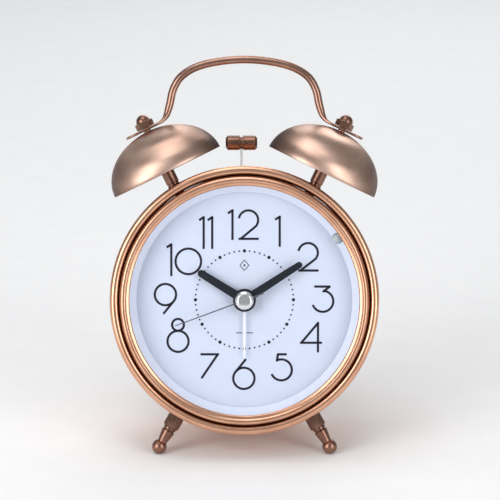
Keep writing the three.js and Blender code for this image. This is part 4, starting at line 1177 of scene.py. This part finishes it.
bay = (door_low.x - GAP, door_high.x + GAP, door_low.z - GAP, door_high.z + GAP)
bay_floor = cover_low.z + SHEET
tub = opening(bay[0] - SHEET, bay[1] + SHEET, bay_floor - SHEET, FRONT_FACE + 0.5,
              bay[2] - SHEET, bay[3] + SHEET)
cover = milled(cover_blank(), tub, how="UNION")
cover = milled(
    cover,
    opening(bay[0], bay[1], bay_floor, REAR_FACE + 2, bay[2], bay[3]),
    drilled(KNOB_X, 0, KNOB_BORE), drilled(-KNOB_X, 0, KNOB_BORE),
    drilled(screw_at[0], screw_at[1], SCREW_HOLE), drilled(-screw_at[0], screw_at[1], SCREW_HOLE),
    drilled(button_at[0], button_at[1], BUTTON_HOLE),
    opening(switch_at[0] - SWITCH_HALF, switch_at[0] + SWITCH_HALF + SWITCH_TRAVEL,
            FRONT_FACE - 2, REAR_FACE + 2, switch_at[1] - SWITCH_HALF, switch_at[1] + SWITCH_HALF),
    collar_ring(KNOB_X, KNOB + 0.9), collar_ring(-KNOB_X, KNOB + 0.9),
    *[opening(-0.45 + 3 * k, 0.45 + 3 * k, FRONT_FACE - 2, REAR_FACE + 2, 34, 42) for k in range(-2, 3)],
)
fit("back_plate", cover, back_lacquer, "case", ["back_cover"], facing, crease=30)

# %% Marks: which way to turn the knobs, and a short line by the switch
def turning_arrow(x, up, radius):
    sweep = pen_stroke(bend(x, up, radius, 150, 40), 0.55)
    tip_at = Vector(bend(x, up, radius, 150, 34)[-1])
    tip = [tuple(tip_at + Vector(p)) for p in ((0.9, -1.3), (-1.0, 0.1), (1.0, 1.0))]
    return [sweep, tip]


marks = [*turning_arrow(KNOB_X, 0, KNOB + 4.0), *turning_arrow(-KNOB_X, 0, KNOB + 4.0)]
marks.append(pen_stroke([(switch_at[0] - 1, switch_at[1] + 5), (switch_at[0] + 6, switch_at[1] + 5)], 0.4))
raised = [stamped([(x, -y) for x, y in outline], REAR_FACE - 0.02, REAR_FACE + 0.12) for outline in marks]
fit("back_marks", merged(*raised), mark_paint, "case", (), facing, crease=30)

# %% Battery lid
def lid_shape():
    y0, y1 = FRONT_FACE, REAR_FACE
    plate = opening(door_low.x, door_high.x, y0, y1, door_low.z, door_high.z)
    ribs = [opening(-8 + 2 * k, -7.2 + 2 * k, y1 - 0.3, y1 + 0.35, door_low.z + 2.2, door_high.z - 3.4)
            for k in range(8)]
    latch = opening(-4, 4, y1 - 0.4, door_high.y, door_high.z - 2.4, door_high.z - 0.8)
    return merged(plate, latch, *ribs)


fit("battery_lid", lid_shape(), back_lacquer, "battery_door", ["battery_door"], facing,
    ease=0.22)

# %% [markdown]
# ## Controls
# A finger turns the two knobs, so their rims are cut into lobes for grip and their ends are dished. The
# light button is a plain domed pin, and the alarm switch is a small ribbed slide. All are moulded
# plastic, so their edges are soft and they have a fine grain.

# %% Knobs
LOBES = 24


def lobed(radius, depth, points=240):
    return [((radius - depth / 2 + depth / 2 * math.cos(LOBES * a)) * math.cos(a),
             (radius - depth / 2 + depth / 2 * math.cos(LOBES * a)) * math.sin(a))
            for a in (2 * math.pi * k / points for k in range(points))]


def knob_shape():
    rings = []
    neck = KNOB - 1.2
    base, top = knob_low.z, knob_high.z
    rows = ((base, neck, 0), (base + 2.0, neck, 0), (base + 2.05, KNOB - 0.3, 0.4), (base + 2.4, KNOB, 0.5),
            (top - 0.6, KNOB, 0.5), (top - 0.15, KNOB - 0.25, 0.4), (top, KNOB - 0.8, 0.15),
            (top, KNOB - 1.5, 0), (top - 0.6, KNOB - 2.0, 0))
    for height, radius, lobe_depth in rows:
        rings.append([(x, y, height) for x, y in lobed(radius, lobe_depth)])
    return skin(rings, caps=True)


for name, node, body, x in (("time_turner", "time_knob", "time_setter", KNOB_X),
                            ("alarm_turner", "alarm_knob", "alarm_setter", -KNOB_X)):
    hole = stamped(disc_outline(0, 0, KNOB_BORE, 24), knob_low.z - 1, knob_high.z - 1.7)
    shape = milled(knob_shape(), hole)
    at_knob = Matrix.Translation((x, 0, 0)) @ facing
    fit(name, shape, black_mould, body, [node], at_knob, crease=45)

# %% Button, switch and screws
button_bench = Matrix.Translation((button_at[0], 0, button_at[1])) @ facing
pin = (button_high.x - button_low.x) / 2 - 1.2
pin_outline = eased(
    (0, button_low.y, 0), (pin + 1.2, button_low.y, 0.1), (pin + 1.2, FRONT_FACE - GAP, 0.1),
    (pin, FRONT_FACE - GAP, 0), (pin, button_high.y - 0.5, 0.5), (pin - 0.9, button_high.y, 0.6),
    (0.6, button_high.y - 0.35, 0), (0, button_high.y - 0.35, 0), steps=5,
)
fit("lamp_button", turned(pin_outline, 48), black_mould, "light_button", ["light_button"],
    button_bench)

x, up = switch_at
slide = [
    opening(x - 1.2, x + 1.2, FRONT_FACE - 1, REAR_FACE + 0.8, up - 1.2, up + 1.2),
    opening(x - 2.2, x + 2.2, REAR_FACE + GAP, switch_high.y - 0.5, up - 2.6, up + 2.6),
    opening(x - 3, x + 3, FRONT_FACE - 1.6, FRONT_FACE - GAP, up - 2.4, up + 2.4),
    *[opening(x + k - 0.28, x + k + 0.28, switch_high.y - 0.6, switch_high.y, up - 2.3, up + 2.3)
      for k in (-1.4, 0, 1.4)],
]
fit("alarm_slide", merged(*slide), black_mould, "alarm_switch", ["alarm_switch"], facing,
    ease=0.15)

for label, side in SIDES:
    bench = Matrix.Translation((side * abs(screw_at[0]), 0, screw_at[1])) @ facing
    head_outline = eased((0, REAR_FACE + 0.02, 0), (2.4, REAR_FACE + 0.02, 0.1),
                         (2.2, screw_high.y - 0.35, 0.5), (0, screw_high.y, 0), steps=5)
    head = turned(head_outline, 48)
    shank = turned([(0, screw_low.y), (1.2, screw_low.y), (1.2, REAR_FACE + 0.1), (0, REAR_FACE + 0.1)], 32)
    cross = [block(-1.5, 1.5, -0.3, 0.3, screw_high.y - 0.75, screw_high.y + 1),
             block(-0.3, 0.3, -1.5, 1.5, screw_high.y - 0.75, screw_high.y + 1)]
    fit(f"screw_{label}", merged(milled(head, *cross), shank), zinc_steel, "case", [f"back_screw_{label}"],
        bench, crease=30)

# %% The cell
cell_middle, cell_half = middle_and_half("battery")
CELL = cell_half.z
half_cell = cell_half.x
sleeve = eased(
    (0, -half_cell + 0.1, 0), (3.6, -half_cell, 0.2), (4.2, -half_cell + 0.3, 0.2),
    (CELL - 0.5, -half_cell + 0.3, 0.3), (CELL, -half_cell + 0.7, 0.2), (CELL, half_cell - 1.6, 0.3),
    (CELL - 0.9, half_cell - 1.25, 0.2), (2.7, half_cell - 1.2, 0.1), (2.7, half_cell, 0.3),
    (0, half_cell, 0),
)
lying = Matrix.Translation(cell_middle) @ Matrix.Rotation(math.radians(90), 4, "Y")
fit("dry_cell", turned(sleeve, 64), cell_sleeve, "battery", ["battery"], lying)

# %% [markdown]
# ## The parts nobody sees
# Wheels, pipes, coils and the circuit board stay as the working model has them, because the sealed
# drum hides them. They still get honest finishes, so the clock looks right when it is taken apart.

# %% Finishes for the kept pieces
kept_finish = (
    (inner_white, ("hour_wheel", "alarm_wheel", "minute_wheel", "alarm_pinion", "second_wheel",
                   "third_wheel", "centre_wheel", "intermediate_wheel")),
    (inner_black, ("movement_front_case", "movement_rear_case")),
    (inner_brass, ("minute_pipe", "dial_nut")),
    (inner_steel, ("rotor", "stator", "hammer_bracket", "hammer_arm", "contact_spring", "contact_plate")),
    (inner_copper, ("post_nut_left", "post_nut_right", "leg_lock_nut_left", "leg_lock_nut_right")),
    (coil_copper, ("stepper_coil", "hammer_coil")),
    (board_green, ("circuit_board",)),
)
for finish, nodes in kept_finish:
    for node in nodes:
        mesh = frame["nodes"][node].data
        mesh.materials.clear()
        mesh.materials.append(finish)
kept = [name for name, item in frame["nodes"].items() if not item.hide_render]
plain = set(kept) - {node for finish, nodes in kept_finish for node in nodes}
print("kept pieces:", len(kept), "without a finish:", sorted(plain))
